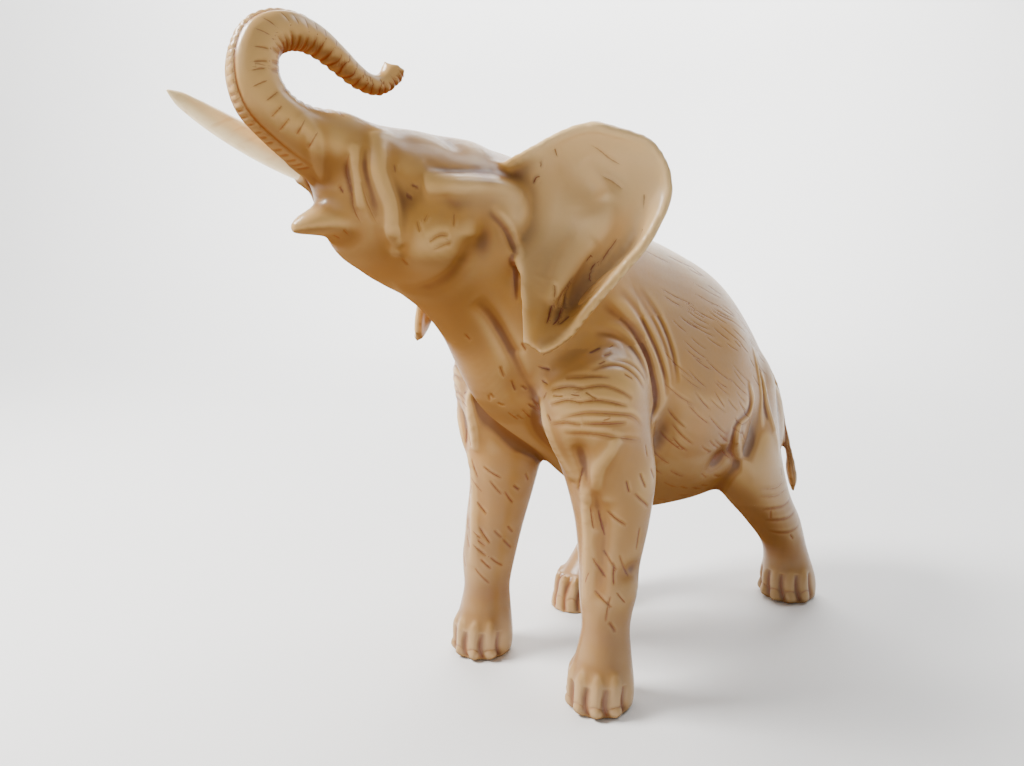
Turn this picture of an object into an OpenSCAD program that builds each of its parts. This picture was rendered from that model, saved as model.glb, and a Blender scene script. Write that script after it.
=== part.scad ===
// Trumpeting elephant: a cast figurine that is glued and dowelled together from castings.
// Millimetres. +Z is up, the elephant faces -Y and its left side is +X. The origin is on the
// ground, under the middle of the whole figure.

/* [Overall] */
// Height of the back above the ground
back_height = 305; // [250:1:370]
// Length of the torso, from the breast to the rump
body_length = 310; // [260:1:370]
// Width of the torso at the belly
body_width = 146; // [120:1:180]

/* [Castings] */
// Wall of the hollow torso
torso_wall = 9; // [6:0.5:12]
// Thickness of an ear
ear_thickness = 6; // [4:0.5:8]
// Length of the tusk in front of its sheath
tusk_length = 72; // [55:1:90]
// Diameter of the tusk where it leaves its sheath
tusk_d = 14; // [11:0.5:16]

// Diameter of the hole under the belly that lets air out of the hollow torso
vent_d = 6; // [4:0.5:10]

/* [Dowels and pins] */
// Diameter of the dowel in the neck
neck_dowel_d = 16; // [10:1:20]
// Length of the dowel in the neck
neck_dowel_length = 56; // [30:1:66]
// Diameter of the dowel in each leg
leg_dowel_d = 10; // [6:1:14]
// Length of the dowel in each leg
leg_dowel_length = 46; // [24:1:56]
// Diameter of the wire in the trunk
trunk_wire_d = 4; // [2:0.5:5]
// Length of the wire's straight end in the head
trunk_wire_tail = 26; // [14:1:34]
// Diameter of the pins in the ears
ear_pin_d = 3; // [2:0.25:4]
// Length of the pins in the ears
ear_pin_length = 20; // [12:1:24]
// Diameter of the tusk's own peg
tusk_peg_d = 8; // [5:0.5:9]
// Length of the tusk's own peg
tusk_peg_length = 16; // [8:1:20]
// Diameter of the pin in the tail
tail_pin_d = 3; // [2:0.25:4]
// Length of the pin in the tail
tail_pin_length = 14; // [8:1:18]
// Play around each dowel and pin, and past each of its ends
play = 0.2; // [0.1:0.05:0.4]

/* [Hidden] */

resin = [0.74, 0.56, 0.35];
ivory = [0.90, 0.83, 0.64];
steel = [0.62, 0.63, 0.65];

// The stations below are drawn for a torso of this width, length and height.
drawn = [146, 310, 305];
stretch = [body_width / drawn[0], body_length / drawn[1], back_height / drawn[2]];
// The drawing's zero is under the spine at the shoulders; this moves it under the middle of the
// whole figure, from ear to ear and from the tusk's tip to the rear left heel.
drawn_sides = [-87, 101];
drawn_ends = [-309, 193];
shift_x = -(drawn_sides[0] + drawn_sides[1]) / 2 * stretch[0];
shift_y = -(drawn_ends[0] + drawn_ends[1]) / 2 * stretch[1];

// A station is [x, y, z, tilt, half width, up, down, ridge]. Its ring lies square to a direction
// that rises by tilt from straight ahead (-Y), and reaches half width to each side. Ridge is
// the share by which it narrows towards its top, and may be left out.
X = 0;
Y = 1;
Z = 2;
TILT = 3;
SIDE = 4;
UP = 5;
DOWN = 6;
RIDGE = 7;

ring_sides = 24;
ring_steps = 4;
$fn = 48;

// The torso, from the rump to the neck.
spine = [
    [0, 172, 178,   0,  8,  12, 14, 0.2],
    [0, 165, 179,   0, 25,  34, 38, 0.2],
    [0, 147, 182,   0, 41,  58, 62, 0.2],
    [0, 118, 186,   0, 55,  80, 82, 0.2],
    [0,  85, 190,   0, 66,  99, 90, 0.2],
    [0,  45, 194,   0, 72, 110, 93, 0.2],
    [0, -10, 205,   5, 72, 112, 92, 0.2],
    [0, -60, 232,  16, 66,  94, 74, 0.15],
    [0, -95, 266,  32, 54,  76, 76, 0.1],
    [0, -122, 293, 40, 46,  61, 62, 0.1]
];
neck_station = 9;
vent_station = 5;

// The head, from the neck to the trunk.
skull = [
    [0, -95, 266,  32, 54, 76, 76, 0.1],
    [0, -122, 293, 40, 46, 61, 62, 0.1],
    [0, -146, 318, 38, 46, 51, 62, 0.1],
    [0, -172, 330, 32, 48, 41, 59, 0.05],
    [0, -198, 335, 26, 45, 37, 50, 0],
    [0, -222, 342, 24, 37, 30, 42, 0],
    [0, -242, 355, 28, 27, 19, 20, 0],
    [0, -258, 361, 33, 20, 15, 16, 0]
];
skull_first = 1;
skull_last = 6;

// The trunk, from the face to its curled tip.
trunk_line = [
    [0, -222, 342,  24, 37, 30, 42],
    [0, -242, 355,  28, 27, 19, 20],
    [0, -258, 361,  33, 20, 15, 16],
    [0, -271, 368,  42, 16, 13, 14],
    [0, -280, 376,  58, 14, 13, 14],
    [0, -284, 386,  79, 13, 13, 13],
    [0, -283, 396,  98, 12, 12, 12.5],
    [0, -277, 405, 130, 11, 11, 12],
    [0, -265, 410, 170, 10,  9.5, 10],
    [0, -251, 408, 203,  8.5, 8, 8.5],
    [0, -238, 401, 214,  7.5, 7, 7],
    [0, -226, 393.5, 208, 6.5, 6, 6],
    [0, -215, 391, 165,  6,  5.5, 5.5],
    [0, -207, 395.5, 125, 5.5, 5.5, 5.5],
    [0, -203, 402, 118,  6.5, 6, 6]
];
trunk_first = 1;
trunk_last = 14;

lip = [
    [0, -210, 312, 15, 30, 26, 16],
    [0, -232, 318, 18, 24, 24, 10],
    [0, -250, 320, 22, 14, 14, 9],
    [0, -263, 317, 15,  7,  7, 5],
    [0, -269, 315, 10,  3,  3, 2]
];

// Each leg, from inside the torso down to the sole. "Up" in these level rings is forwards.
front_left = [
    [34, -50, 262, -90, 14, 30, 32],
    [45, -88, 230, -90, 27, 35, 50],
    [48, -92, 204, -90, 30, 36, 50],
    [51, -78, 160, -90, 27, 32, 35],
    [53, -75, 129, -90, 24, 26, 27],
    [54, -78,  98, -90, 20, 21, 22],
    [55, -80,  66, -90, 17.5, 18.5, 18.5],
    [55, -82,  38, -90, 19, 21, 19.5],
    [55, -83,  14, -90, 22, 25, 21],
    [55, -83,   0, -90, 21, 24, 20]
];
front_right = [
    [-34, -48, 262, -90, 14, 30, 32],
    [-45, -80, 232, -90, 27, 38, 46],
    [-49, -84, 198, -90, 29, 34, 42],
    [-51, -78, 160, -90, 27, 31, 34],
    [-53, -79, 129, -90, 24, 26, 27],
    [-55, -85,  98, -90, 22, 23, 23],
    [-55, -91,  66, -90, 20, 20, 20],
    [-55, -93,  38, -90, 21, 21, 21],
    [-55, -94,  14, -90, 22, 25, 21],
    [-55, -94,   0, -90, 21, 24, 20]
];
rear_left = [
    [26, 100, 236, -90, 12, 26, 24],
    [34, 101, 205, -90, 24, 42, 40],
    [37, 103, 170, -90, 26, 50, 42],
    [41, 112, 130, -90, 26, 50, 38],
    [45, 130,  98, -90, 24, 36, 29],
    [49, 147,  74, -90, 22, 27, 26],
    [54, 162,  46, -90, 20, 21, 21],
    [57, 168,  18, -90, 22, 25, 22],
    [58, 170,   0, -90, 22, 26, 21]
];
rear_right = [
    [-26, 100, 236, -90, 12, 26, 24],
    [-34, 101, 205, -90, 24, 42, 40],
    [-37, 100, 170, -90, 26, 48, 44],
    [-42,  96, 130, -90, 26, 42, 44],
    [-47,  80,  98, -90, 24, 34, 34],
    [-53,  60,  72, -90, 21, 26, 27],
    [-56,  39,  45, -90, 19, 23, 22],
    [-58,  20,  18, -90, 21, 25, 23],
    [-58,  14,   0, -90, 22, 25, 22]
];
leg_sides = 18;
// The station where each leg meets the torso.
front_joint = 3;
rear_joint = 4;

tail_joint = 1;
tail_sides = 10;
tail_line = [
    [ 3, 145, 206, -180, 9, 9, 9],
    [10, 177, 202, -160, 6.5, 6.5, 6.5],
    [20, 182, 190, -120, 5.5, 5.5, 5.5],
    [33, 178, 168, -94, 4.5, 4.5, 4.5],
    [42, 174, 148, -90, 4, 4, 4],
    [48, 172, 126, -86, 4.5, 4.5, 4.5],
    [51, 174, 106, -84, 5, 5, 5],
    [52, 176,  92, -84, 2, 2, 2]
];

// The left ear is a bowl-shaped sheet. Each row crosses it from the head's side, through its
// middle, to its outer rim, and the rows go down from the crown to the tip.
ear_rows = [
    [[38, -158, 350], [58, -132, 368], [74, -119, 374]],
    [[39, -154, 342], [60, -120, 356], [89, -93, 364]],
    [[40, -152, 330], [62, -112, 337], [99, -86, 338]],
    [[42, -152, 312], [64, -114, 312], [98, -100, 309]],
    [[50, -156, 294], [68, -132, 290], [90, -117, 288]],
    [[56, -159, 275], [70, -144, 270], [81, -135, 268]],
    [[59, -160, 262], [68, -152, 259], [73, -146, 256]],
    [[60, -160, 252], [63, -158, 249], [66, -156, 248]]
];
ear_across = 10;
ear_steps = 3;
// The right ear is turned back and set a little lower than the left one.
right_ear_pivot = [-44, -155, 0];
right_ear_shift = [0, 8, -5];
right_ear_turn = -12;
// The rows that have a pin, and how far across a row the ear leaves the head.
ear_pin_rows = [2, 3];
ear_root = 0.2;

// Where the right tusk leaves its sheath, and the way from there to its tip.
tusk_root = [-29, -247, 350];
tusk_way = [-0.22, -0.86, 0.46];
tusk_tilt = 28;
tusk_sag = 2;
sheath_length = 18;
sheath_lip = 2.5;
tusk_steps = 5;
function tusk_station(t) =
    let (r = tusk_d / 2 * sqrt(1 - t * t) + 0.5)
        concat(
            tusk_root + tusk_way * tusk_length * t - [0, 0, 4 * tusk_sag * t * (1 - t)],
            [tusk_tilt, r, r, r]
        );
function sheath_station(t) =
    let (r = tusk_d / 2 + sheath_lip * (1 + t))
        concat(tusk_root - tusk_way * sheath_length * t, [tusk_tilt, r, r, r]);

// The wire in the trunk runs from inside the head to just short of the tip.
wire_last = 12;
wire_sides = 8;
function wire_stations(r) = [
    for (i = [0:wire_last])
        let (
            s = trunk_line[max(i, trunk_first)],
            back = i < trunk_first ? trunk_wire_tail : 0
        ) [0, s[Y] + back * cos(s[TILT]), s[Z] - back * sin(s[TILT]), s[TILT], r, r, r]
];

function lift(p) =
    [p[X] * stretch[X] + shift_x, p[Y] * stretch[Y] + shift_y, p[Z] * stretch[Z]];

// A smooth curve through b and c, guided by their neighbours a and d.
function between(a, b, c, d, t) =
    (2 * b + (c - a) * t + (2 * a - 5 * b + 4 * c - d) * t * t
        + (3 * b - a - 3 * c + d) * t * t * t) / 2;
function at(list, i) = list[max(0, min(len(list) - 1, i))];
function smooth(list, first, last, steps) = [
    for (i = [first:last - 1]) for (j = [0:steps - 1])
        between(at(list, i - 1), list[i], list[i + 1], at(list, i + 2), j / steps),
    list[last]
];

function ring(s, sides, grow) = [
    for (i = [0:sides - 1])
        let (
            a = 360 * i / sides,
            h = ((sin(a) < 0 ? s[DOWN] : s[UP]) + grow) * sin(a),
            narrow = len(s) > RIDGE ? s[RIDGE] * max(0, sin(a)) : 0
        )
            lift([
                s[X] + (s[SIDE] + grow) * cos(a) * (1 - narrow),
                s[Y] + h * sin(s[TILT]),
                s[Z] + h * cos(s[TILT])
            ])
];

// A closed skin over a list of rings.
module skin(rings) {
    n = len(rings[0]);
    last = len(rings) - 1;
    polyhedron(
        points = [for (r = rings) each r],
        faces = [
            [for (j = [0:n - 1]) j],
            for (i = [0:last - 1]) for (j = [0:n - 1])
                each [
                    [i * n + j, (i + 1) * n + j, (i + 1) * n + (j + 1) % n],
                    [i * n + j, (i + 1) * n + (j + 1) % n, i * n + (j + 1) % n]
                ],
            [for (j = [n - 1:-1:0]) last * n + j]
        ],
        convexity = 8
    );
}

module tube(stations, first, last, sides = ring_sides, grow = 0) {
    skin([for (s = smooth(stations, first, last, ring_steps)) ring(s, sides, grow)]);
}

// Blended castings are taken as one mesh.
module casting() resize([0, 0, 0]) children();

// Points +Z along a direction from a point.
module aim(p, direction) {
    translate(p)
        rotate([0, acos(direction[2] / norm(direction)), atan2(direction[1], direction[0])])
            children();
}
// A round bar whose middle is at p.
module bar(p, direction, d, length, extra = 0) {
    aim(p, direction) cylinder(d = d + 2 * extra, h = length + 2 * extra, center = true);
}

function centre(s) = lift([s[X], s[Y], s[Z]]);
// The way a row of stations runs at station i.
function run(list, i) = centre(list[i + 1]) - centre(list[i]);

module neck_bar(extra = 0) {
    s = skull[skull_first];
    bar(centre(s), centre(skull[2]) - centre(skull[0]), neck_dowel_d, neck_dowel_length, extra);
}
module leg_bar(stations, joint, extra = 0) {
    bar(centre(stations[joint]), run(stations, joint), leg_dowel_d, leg_dowel_length, extra);
}

module wire_path(extra = 0) {
    r = trunk_wire_d / 2 + extra;
    tube(wire_stations(r), 0, wire_last, wire_sides);
}
module tusk_peg(extra = 0) {
    root = lift(tusk_root);
    inward = root - lift(tusk_root + tusk_way);
    into_tusk = 2;
    aim(root - into_tusk * inward / norm(inward), inward)
        cylinder(d = tusk_peg_d + 2 * extra, h = into_tusk + tusk_peg_length + extra);
}
module tail_bar(extra = 0) {
    bar(centre(tail_line[tail_joint]), centre(tail_line[2]) - centre(tail_line[0]),
        tail_pin_d, tail_pin_length, extra);
}

// A point of the ear, u of the way across a row.
function ear_point(row, u) = lift(
    2 * (u - 0.5) * (u - 1) * row[0] - 4 * u * (u - 1) * row[1] + 2 * u * (u - 0.5) * row[2]);
module ear() {
    grid = [
        for (row = smooth(ear_rows, 0, len(ear_rows) - 1, ear_steps))
            [for (j = [0:ear_across]) ear_point(row, j / ear_across)]
    ];
    last = len(grid) - 1;
    // Half the ear's thickness, square to the sheet.
    function half(i, j) =
        let (
            down = grid[min(i + 1, last)][j] - grid[max(i - 1, 0)][j],
            out = grid[i][min(j + 1, ear_across)] - grid[i][max(j - 1, 0)],
            square = cross(down, out)
        ) square / norm(square) * ear_thickness / 2;
    skin([
        for (i = [0:last]) [
            for (j = [0:ear_across]) grid[i][j] - half(i, j),
            for (j = [ear_across:-1:0]) grid[i][j] + half(i, j)
        ]
    ]);
}
module ear_bars(extra = 0) {
    reach = 0.1;
    for (i = ear_pin_rows) {
        row = ear_rows[i];
        bar(ear_point(row, ear_root),
            ear_point(row, ear_root + reach) - ear_point(row, ear_root - reach),
            ear_pin_d, ear_pin_length, extra);
    }
}
module on_right() {
    pivot = lift(right_ear_pivot);
    translate(pivot + right_ear_shift) rotate([0, 0, right_ear_turn]) translate(-pivot)
        translate([shift_x, 0, 0]) mirror([1, 0, 0]) translate([-shift_x, 0, 0]) children();
}
module skull_tube() tube(skull, 0, skull_last);
module spine_tube() tube(spine, 0, neck_station);
module sheath() tube([for (t = [1, 0.5, 0]) sheath_station(t)], 0, 2, leg_sides);
module tusk_tube() {
    tube([for (i = [0:tusk_steps]) tusk_station(i / tusk_steps)], 0, tusk_steps, 16);
}

module torso() {
    color(resin) difference() {
        casting() union() {
            difference() {
                spine_tube();
                tube(spine, 2, 7, ring_sides, -torso_wall);
                translate(centre(spine[vent_station])) mirror([0, 0, 1])
                    cylinder(d = vent_d, h = back_height);
            }
            tube(front_left, 0, front_joint, leg_sides);
            tube(front_right, 0, front_joint, leg_sides);
            tube(rear_left, 0, rear_joint, leg_sides);
            tube(rear_right, 0, rear_joint, leg_sides);
            skin([for (i = [0:tail_joint]) ring(tail_line[i], tail_sides, 0)]);
        }
        neck_bar(play);
        leg_bar(front_left, front_joint, play);
        leg_bar(front_right, front_joint, play);
        leg_bar(rear_left, rear_joint, play);
        leg_bar(rear_right, rear_joint, play);
        tail_bar(play);
    }
}
module head() {
    color(resin) difference() {
        casting() difference() {
            union() {
                tube(skull, skull_first, skull_last);
                tube(lip, 0, len(lip) - 1, leg_sides);
                sheath();
            }
            wire_path(play);
        }
        neck_bar(play);
        tusk_peg(play);
        ear_bars(play);
        on_right() ear_bars(play);
    }
}
module trunk() {
    color(resin) casting() difference() {
        tube(trunk_line, trunk_first, trunk_last);
        wire_path(play);
        sheath();
        tusk_tube();
    }
}
module left_ear() {
    color(resin) difference() {
        casting() difference() {
            ear();
            skull_tube();
        }
        ear_bars(play);
    }
}
module right_ear() {
    color(resin) difference() {
        casting() difference() {
            on_right() ear();
            skull_tube();
        }
        on_right() ear_bars(play);
    }
}
module right_tusk() {
    color(ivory) union() {
        tusk_tube();
        tusk_peg();
    }
}
module tail() {
    color(resin) difference() {
        tube(tail_line, tail_joint, len(tail_line) - 1, tail_sides);
        tail_bar(play);
    }
}
module leg(stations, joint) {
    color(resin) difference() {
        casting() difference() {
            tube(stations, joint, len(stations) - 1, leg_sides);
            spine_tube();
        }
        leg_bar(stations, joint, play);
    }
}
module front_left_leg() leg(front_left, front_joint);
module front_right_leg() leg(front_right, front_joint);
module rear_left_leg() leg(rear_left, rear_joint);
module rear_right_leg() leg(rear_right, rear_joint);
module neck_dowel() color(steel) neck_bar();
module front_left_leg_dowel() color(steel) leg_bar(front_left, front_joint);
module front_right_leg_dowel() color(steel) leg_bar(front_right, front_joint);
module rear_left_leg_dowel() color(steel) leg_bar(rear_left, rear_joint);
module rear_right_leg_dowel() color(steel) leg_bar(rear_right, rear_joint);
module trunk_wire() color(steel) wire_path();
module left_ear_pins() color(steel) ear_bars();
module right_ear_pins() color(steel) on_right() ear_bars();
module tail_pin() color(steel) tail_bar();

torso();
head();
trunk();
left_ear();
right_ear();
right_tusk();
tail();
front_left_leg();
front_right_leg();
rear_left_leg();
rear_right_leg();
neck_dowel();
front_left_leg_dowel();
front_right_leg_dowel();
rear_left_leg_dowel();
rear_right_leg_dowel();
trunk_wire();
left_ear_pins();
right_ear_pins();
tail_pin();
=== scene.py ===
import math
import random

import bmesh
import bpy
import numpy as np
from mathutils import Matrix, Vector
from mathutils.bvhtree import BVHTree


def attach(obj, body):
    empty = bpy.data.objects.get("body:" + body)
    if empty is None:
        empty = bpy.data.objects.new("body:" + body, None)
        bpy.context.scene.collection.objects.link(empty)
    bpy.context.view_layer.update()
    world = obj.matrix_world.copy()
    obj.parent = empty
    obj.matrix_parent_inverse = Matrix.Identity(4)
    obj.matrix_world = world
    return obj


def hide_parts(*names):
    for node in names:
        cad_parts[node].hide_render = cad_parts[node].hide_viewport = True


bl_info = {
    "name": "Carved elephant",
    "version": (1, 0, 0),
    "blender": (4, 5, 0),
    "location": "View3D > Sidebar > Elephant",
    "description": "Builds a cast resin elephant with tooled skin around its frame",
    "category": "Add Mesh",
}

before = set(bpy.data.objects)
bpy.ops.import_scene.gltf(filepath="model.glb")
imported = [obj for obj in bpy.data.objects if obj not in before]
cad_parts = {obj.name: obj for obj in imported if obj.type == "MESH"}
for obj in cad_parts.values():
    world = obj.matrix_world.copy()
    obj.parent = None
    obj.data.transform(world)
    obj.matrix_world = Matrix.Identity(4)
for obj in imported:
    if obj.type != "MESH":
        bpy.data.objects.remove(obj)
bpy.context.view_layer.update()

MM = 0.001
# The stations are drawn round a spine at X 0; this puts them in the frame.
SHIFT = np.array([-7.0, 58.0, 0.0])

# A station is (x, y, z, tilt, half width, up, down, ridge), in millimetres and degrees. Its ring
# is square to a direction that rises by tilt from straight ahead (-Y).
SPINE = [
    (0, 172, 178, 0, 8, 12, 14, 0.2),
    (0, 165, 179, 0, 25, 34, 38, 0.2),
    (0, 147, 182, 0, 41, 58, 62, 0.2),
    (0, 118, 186, 0, 55, 80, 82, 0.2),
    (0, 85, 190, 0, 66, 99, 90, 0.2),
    (0, 45, 194, 0, 72, 110, 93, 0.2),
    (0, -10, 205, 5, 72, 112, 92, 0.2),
    (0, -60, 232, 16, 66, 94, 74, 0.15),
    (0, -95, 266, 32, 54, 76, 76, 0.1),
    (0, -122, 293, 40, 46, 61, 62, 0.1),
    (0, -146, 318, 38, 46, 51, 62, 0.1),
    (0, -172, 330, 32, 48, 41, 59, 0.05),
    (0, -198, 335, 26, 45, 37, 50, 0),
    (0, -222, 342, 24, 37, 30, 42, 0),
    (0, -242, 355, 28, 27, 19, 20, 0),
    (0, -258, 361, 33, 20, 15, 16, 0),
    (0, -271, 368, 42, 16, 13, 14, 0),
    (0, -280, 376, 58, 14, 13, 14, 0),
    (0, -284, 386, 79, 13, 13, 13, 0),
    (0, -283, 396, 98, 12, 12, 12.5, 0),
    (0, -277, 405, 130, 11, 11, 12, 0),
    (0, -265, 410, 170, 10, 9.5, 10, 0),
    (0, -251, 408, 203, 8.5, 8, 8.5, 0),
    (0, -238, 401, 214, 7.5, 7, 7, 0),
    (0, -226, 393.5, 208, 6.5, 6, 6, 0),
    (0, -215, 391, 165, 6, 5.5, 5.5, 0),
    (0, -207, 395.5, 125, 6, 6, 6, 0),
    (0, -203, 402, 118, 8, 7.5, 7.5, 0),
]
LIP = [
    (0, -210, 312, 15, 30, 26, 16),
    (0, -232, 318, 18, 24, 24, 10),
    (0, -250, 320, 22, 14, 14, 9),
    (0, -263, 317, 15, 7, 7, 5),
    (0, -269, 315, 10, 3, 3, 2),
]
LEGS = {
    "front_left_leg": [
        (34, -50, 262, -90, 14, 30, 32),
        (45, -88, 230, -90, 27, 35, 50),
        (48, -92, 204, -90, 30, 36, 50),
        (51, -78, 160, -90, 27, 32, 35),
        (53, -75, 129, -90, 24, 26, 27),
        (54, -78, 98, -90, 20, 21, 22),
        (55, -80, 78, -90, 18.8, 19.5, 20),
        (55, -81, 56, -90, 16, 17, 17),
        (55, -82, 38, -90, 18, 20, 18.5),
        (55, -83, 14, -90, 22, 25, 21),
        (55, -83, 0, -90, 21, 24, 20),
    ],
    "front_right_leg": [
        (-34, -48, 262, -90, 14, 30, 32),
        (-45, -80, 232, -90, 27, 38, 46),
        (-49, -84, 198, -90, 29, 34, 42),
        (-51, -78, 160, -90, 27, 31, 34),
        (-53, -79, 129, -90, 24, 26, 27),
        (-55, -85, 98, -90, 22, 23, 23),
        (-55, -90, 72, -90, 19.8, 20.5, 20),
        (-55, -92, 52, -90, 17.2, 18, 18),
        (-55, -93, 38, -90, 18.8, 20, 19),
        (-55, -94, 14, -90, 22, 25, 21),
        (-55, -94, 0, -90, 21, 24, 20),
    ],
    "rear_left_leg": [
        (26, 100, 236, -90, 12, 26, 24),
        (34, 101, 205, -90, 24, 42, 40),
        (37, 103, 170, -90, 26, 50, 42),
        (41, 112, 130, -90, 26, 50, 38),
        (45, 130, 98, -90, 24, 36, 29),
        (49, 147, 74, -90, 22, 27, 26),
        (54, 162, 46, -90, 18.5, 19.5, 20),
        (57, 168, 18, -90, 22.5, 26, 22),
        (58, 170, 0, -90, 22, 26, 21),
    ],
    "rear_right_leg": [
        (-26, 100, 236, -90, 12, 26, 24),
        (-34, 101, 205, -90, 24, 42, 40),
        (-37, 100, 170, -90, 26, 48, 44),
        (-42, 96, 130, -90, 26, 42, 44),
        (-47, 80, 98, -90, 24, 34, 34),
        (-53, 60, 72, -90, 21, 26, 27),
        (-56, 39, 45, -90, 19, 23, 22),
        (-58, 20, 18, -90, 21, 25, 23),
        (-58, 14, 0, -90, 22, 25, 22),
    ],
}
TAIL = [
    (3, 145, 206, -180, 9, 9, 9),
    (10, 177, 202, -160, 6.5, 6.5, 6.5),
    (20, 182, 190, -120, 5.5, 5.5, 5.5),
    (33, 178, 168, -94, 4.5, 4.5, 4.5),
    (42, 174, 148, -90, 4, 4, 4),
    (48, 172, 126, -86, 4.5, 4.5, 4.5),
    (51, 174, 106, -84, 5, 5, 5),
    (52, 176, 92, -84, 2, 2, 2),
]
# Each row of an ear runs from the head through its middle to its rim, from the crown down.
EAR_ROWS = [
    [(38, -158, 350), (58, -132, 368), (74, -119, 374)],
    [(39, -154, 342), (60, -120, 356), (89, -93, 364)],
    [(40, -152, 330), (62, -112, 337), (99, -86, 338)],
    [(42, -152, 312), (64, -114, 312), (98, -100, 309)],
    [(50, -156, 294), (68, -132, 290), (90, -117, 288)],
    [(56, -159, 275), (70, -144, 270), (81, -135, 268)],
    [(59, -160, 262), (68, -152, 259), (73, -146, 256)],
    [(60, -160, 252), (63, -158, 249), (66, -156, 248)],
]
RIGHT_EAR_PIVOT = np.array([-44.0, -155.0, 0.0])
RIGHT_EAR_MOVE = np.array([0.0, 8.0, -5.0])
RIGHT_EAR_TURN = -12
TUSK_ROOT = np.array([-29.0, -247.0, 350.0])
TUSK_WAY = np.array([-0.22, -0.86, 0.46])
TUSK_LENGTH = 72
TUSK_PITCH = 28
TUSK_RADIUS, TUSK_TIP, TUSK_SAG = 7.8, 0.4, 8
TUSK_RINGS = 12
# The sheath of lip round the tusk's root: how far back along the tusk, and radius.
TUSK_SHEATH = [(18, 11.5), (8, 11), (0, 9.5)]
# Thigh muscles: centre and radii.
THIGHS = [((34, 146, 152), (19, 24, 46)), ((-34, 140, 160), (19, 22, 40))]
# Flesh that fills the gap behind the root of each ear: centre; and its radii.
EAR_ROOTS = [(45, -155, 328), (-45, -147, 323)]
EAR_ROOT_RADII = (8, 9, 13)

PARTS = ["torso", "head", "trunk", "left_ear", "right_ear", "tail"] + list(LEGS)
FIXINGS = ["neck_dowel", "front_left_leg_dowel", "front_right_leg_dowel", "rear_left_leg_dowel",
           "rear_right_leg_dowel", "trunk_wire", "left_ear_pins", "right_ear_pins", "tail_pin"]
SEED = 7
# Rows put in for each row of an ear, and the share by which its upper rows reach into the head.
EAR_FINE = 5
EAR_INSIDE = 0.2
# Places on the spine where the trunk's rings, its under marks and its side marks begin or end.
TRUNK_FIRST = 14.6
UNDER_LAST = 24
SIDE_LAST = 25
# Turns of a foot's toes from straight ahead, and half the turn between two toes, in degrees.
TOE_TURNS = (66, 34, 2, -30, -62)
HALF_TOE = 16

# Carving, in millimetres: the step of a path, how far its ink reaches, the least gap between two
# strokes, and the place, width and reach of a raised bank in groove widths.
PATH_STEP = 0.8
INK_REACH = 3.0
LINE_GAP = 2.8
BANK_PLACE, BANK_WIDTH, BANK_REACH = 1.8, 1.3, 3
# The share of a groove over which each of its ends fades.
FADE_SHARE = 0.25
# A stroke's groove: width, bank and stain, and how much its ink and its depth vary.
STROKE_WIDTH, STROKE_LIP, STROKE_STAIN = 0.9, 0.05, 0.08
INK_SPREAD = (0.45, 1.1)
CUT_SPREAD = (0.6, 1.3)
# The least that a stroke's place has to face the way that is asked for.
FACING_LEAST = 0.3
# Rounds of smoothing that set fine and broad hollows apart.
HOLLOW_ROUNDS = (6, 60)
# Rounds that blend the limbs, even out the mesh and settle the forms.
BLEND_ROUNDS, EVEN_ROUNDS, SETTLE_ROUNDS = 40, 3, 5
# Rounds of voting that straighten a seam, and the weight of a face's own vote.
SEAM_ROUNDS, OWN_VOTE = 12, 1.5
# How far a seam turns inwards before it is closed, in metres.
SEAM_LIP = 0.0015

# The tooled parts of the torso, in millimetres: how far out, between which levels and how far
# back the flanks' finer mesh goes, and where the chest's begins.
FLANK_OUT, FLANK_LOW, FLANK_HIGH, FLANK_BACK = 38, 160, 261, 188
CHEST_FRONT = -66
# Where the ears are, in millimetres: how far out they begin and over how much, their lowest
# level, and where the painted light on their upper part begins and over how much.
EAR_OUT, EAR_OVER, EAR_LOW, EAR_PAINTED_LIGHT_FROM, EAR_PAINTED_LIGHT_OVER = 44, 8, 245, 270, 50

# The studio, in metres: the half width of the floor, the height and cove radius of its backdrop.
FLOOR_SIZE, BACKDROP, COVE = 3, 4, 1.2
CAMERA_PLACE = (0.361, -0.3957, 0.305)
CAMERA_DOWN, CAMERA_TURN = 9.9, 47.5
LENS, SENSOR = 27.0, 36.0
WORLD_COLOUR = (1, 0.97, 0.93, 1)
WORLD_STRENGTH = 0.2

# Bulges of the ear's sheet: (row, share across), how far they reach, height in millimetres.
EAR_FORMS = [
    ((1.3, 0.50), (0.9, 0.24), -9.0),
    ((2.1, 0.74), (0.9, 0.10), 3.0),
    ((2.7, 0.52), (0.5, 0.18), 8.0),
    ((3.5, 0.30), (0.7, 0.16), 6.0),
    ((3.1, 0.78), (0.8, 0.12), -6.0),
    ((4.0, 0.60), (0.8, 0.15), -8.0),
    ((5.0, 0.40), (0.9, 0.18), -4.0),
    ((2.4, 0.95), (2.2, 0.07), 3.0),
    ((4.6, 0.92), (1.2, 0.12), 3.5),
]

# Beads (negative depth) and furrows down the sheet of an ear: (row, share across), width, depth.
EAR_FOLDS = [
    ([(1.3, 0.52), (2.1, 0.62), (2.9, 0.58), (3.8, 0.44), (4.8, 0.30)], 6.0, -5.0),
    ([(2.2, 0.40), (2.9, 0.38), (3.6, 0.28), (4.4, 0.18)], 5.0, 3.2),
    ([(2.2, 0.84), (3.0, 0.82), (3.8, 0.72), (4.8, 0.58), (5.4, 0.50)], 6.5, 2.8),
]

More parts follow.
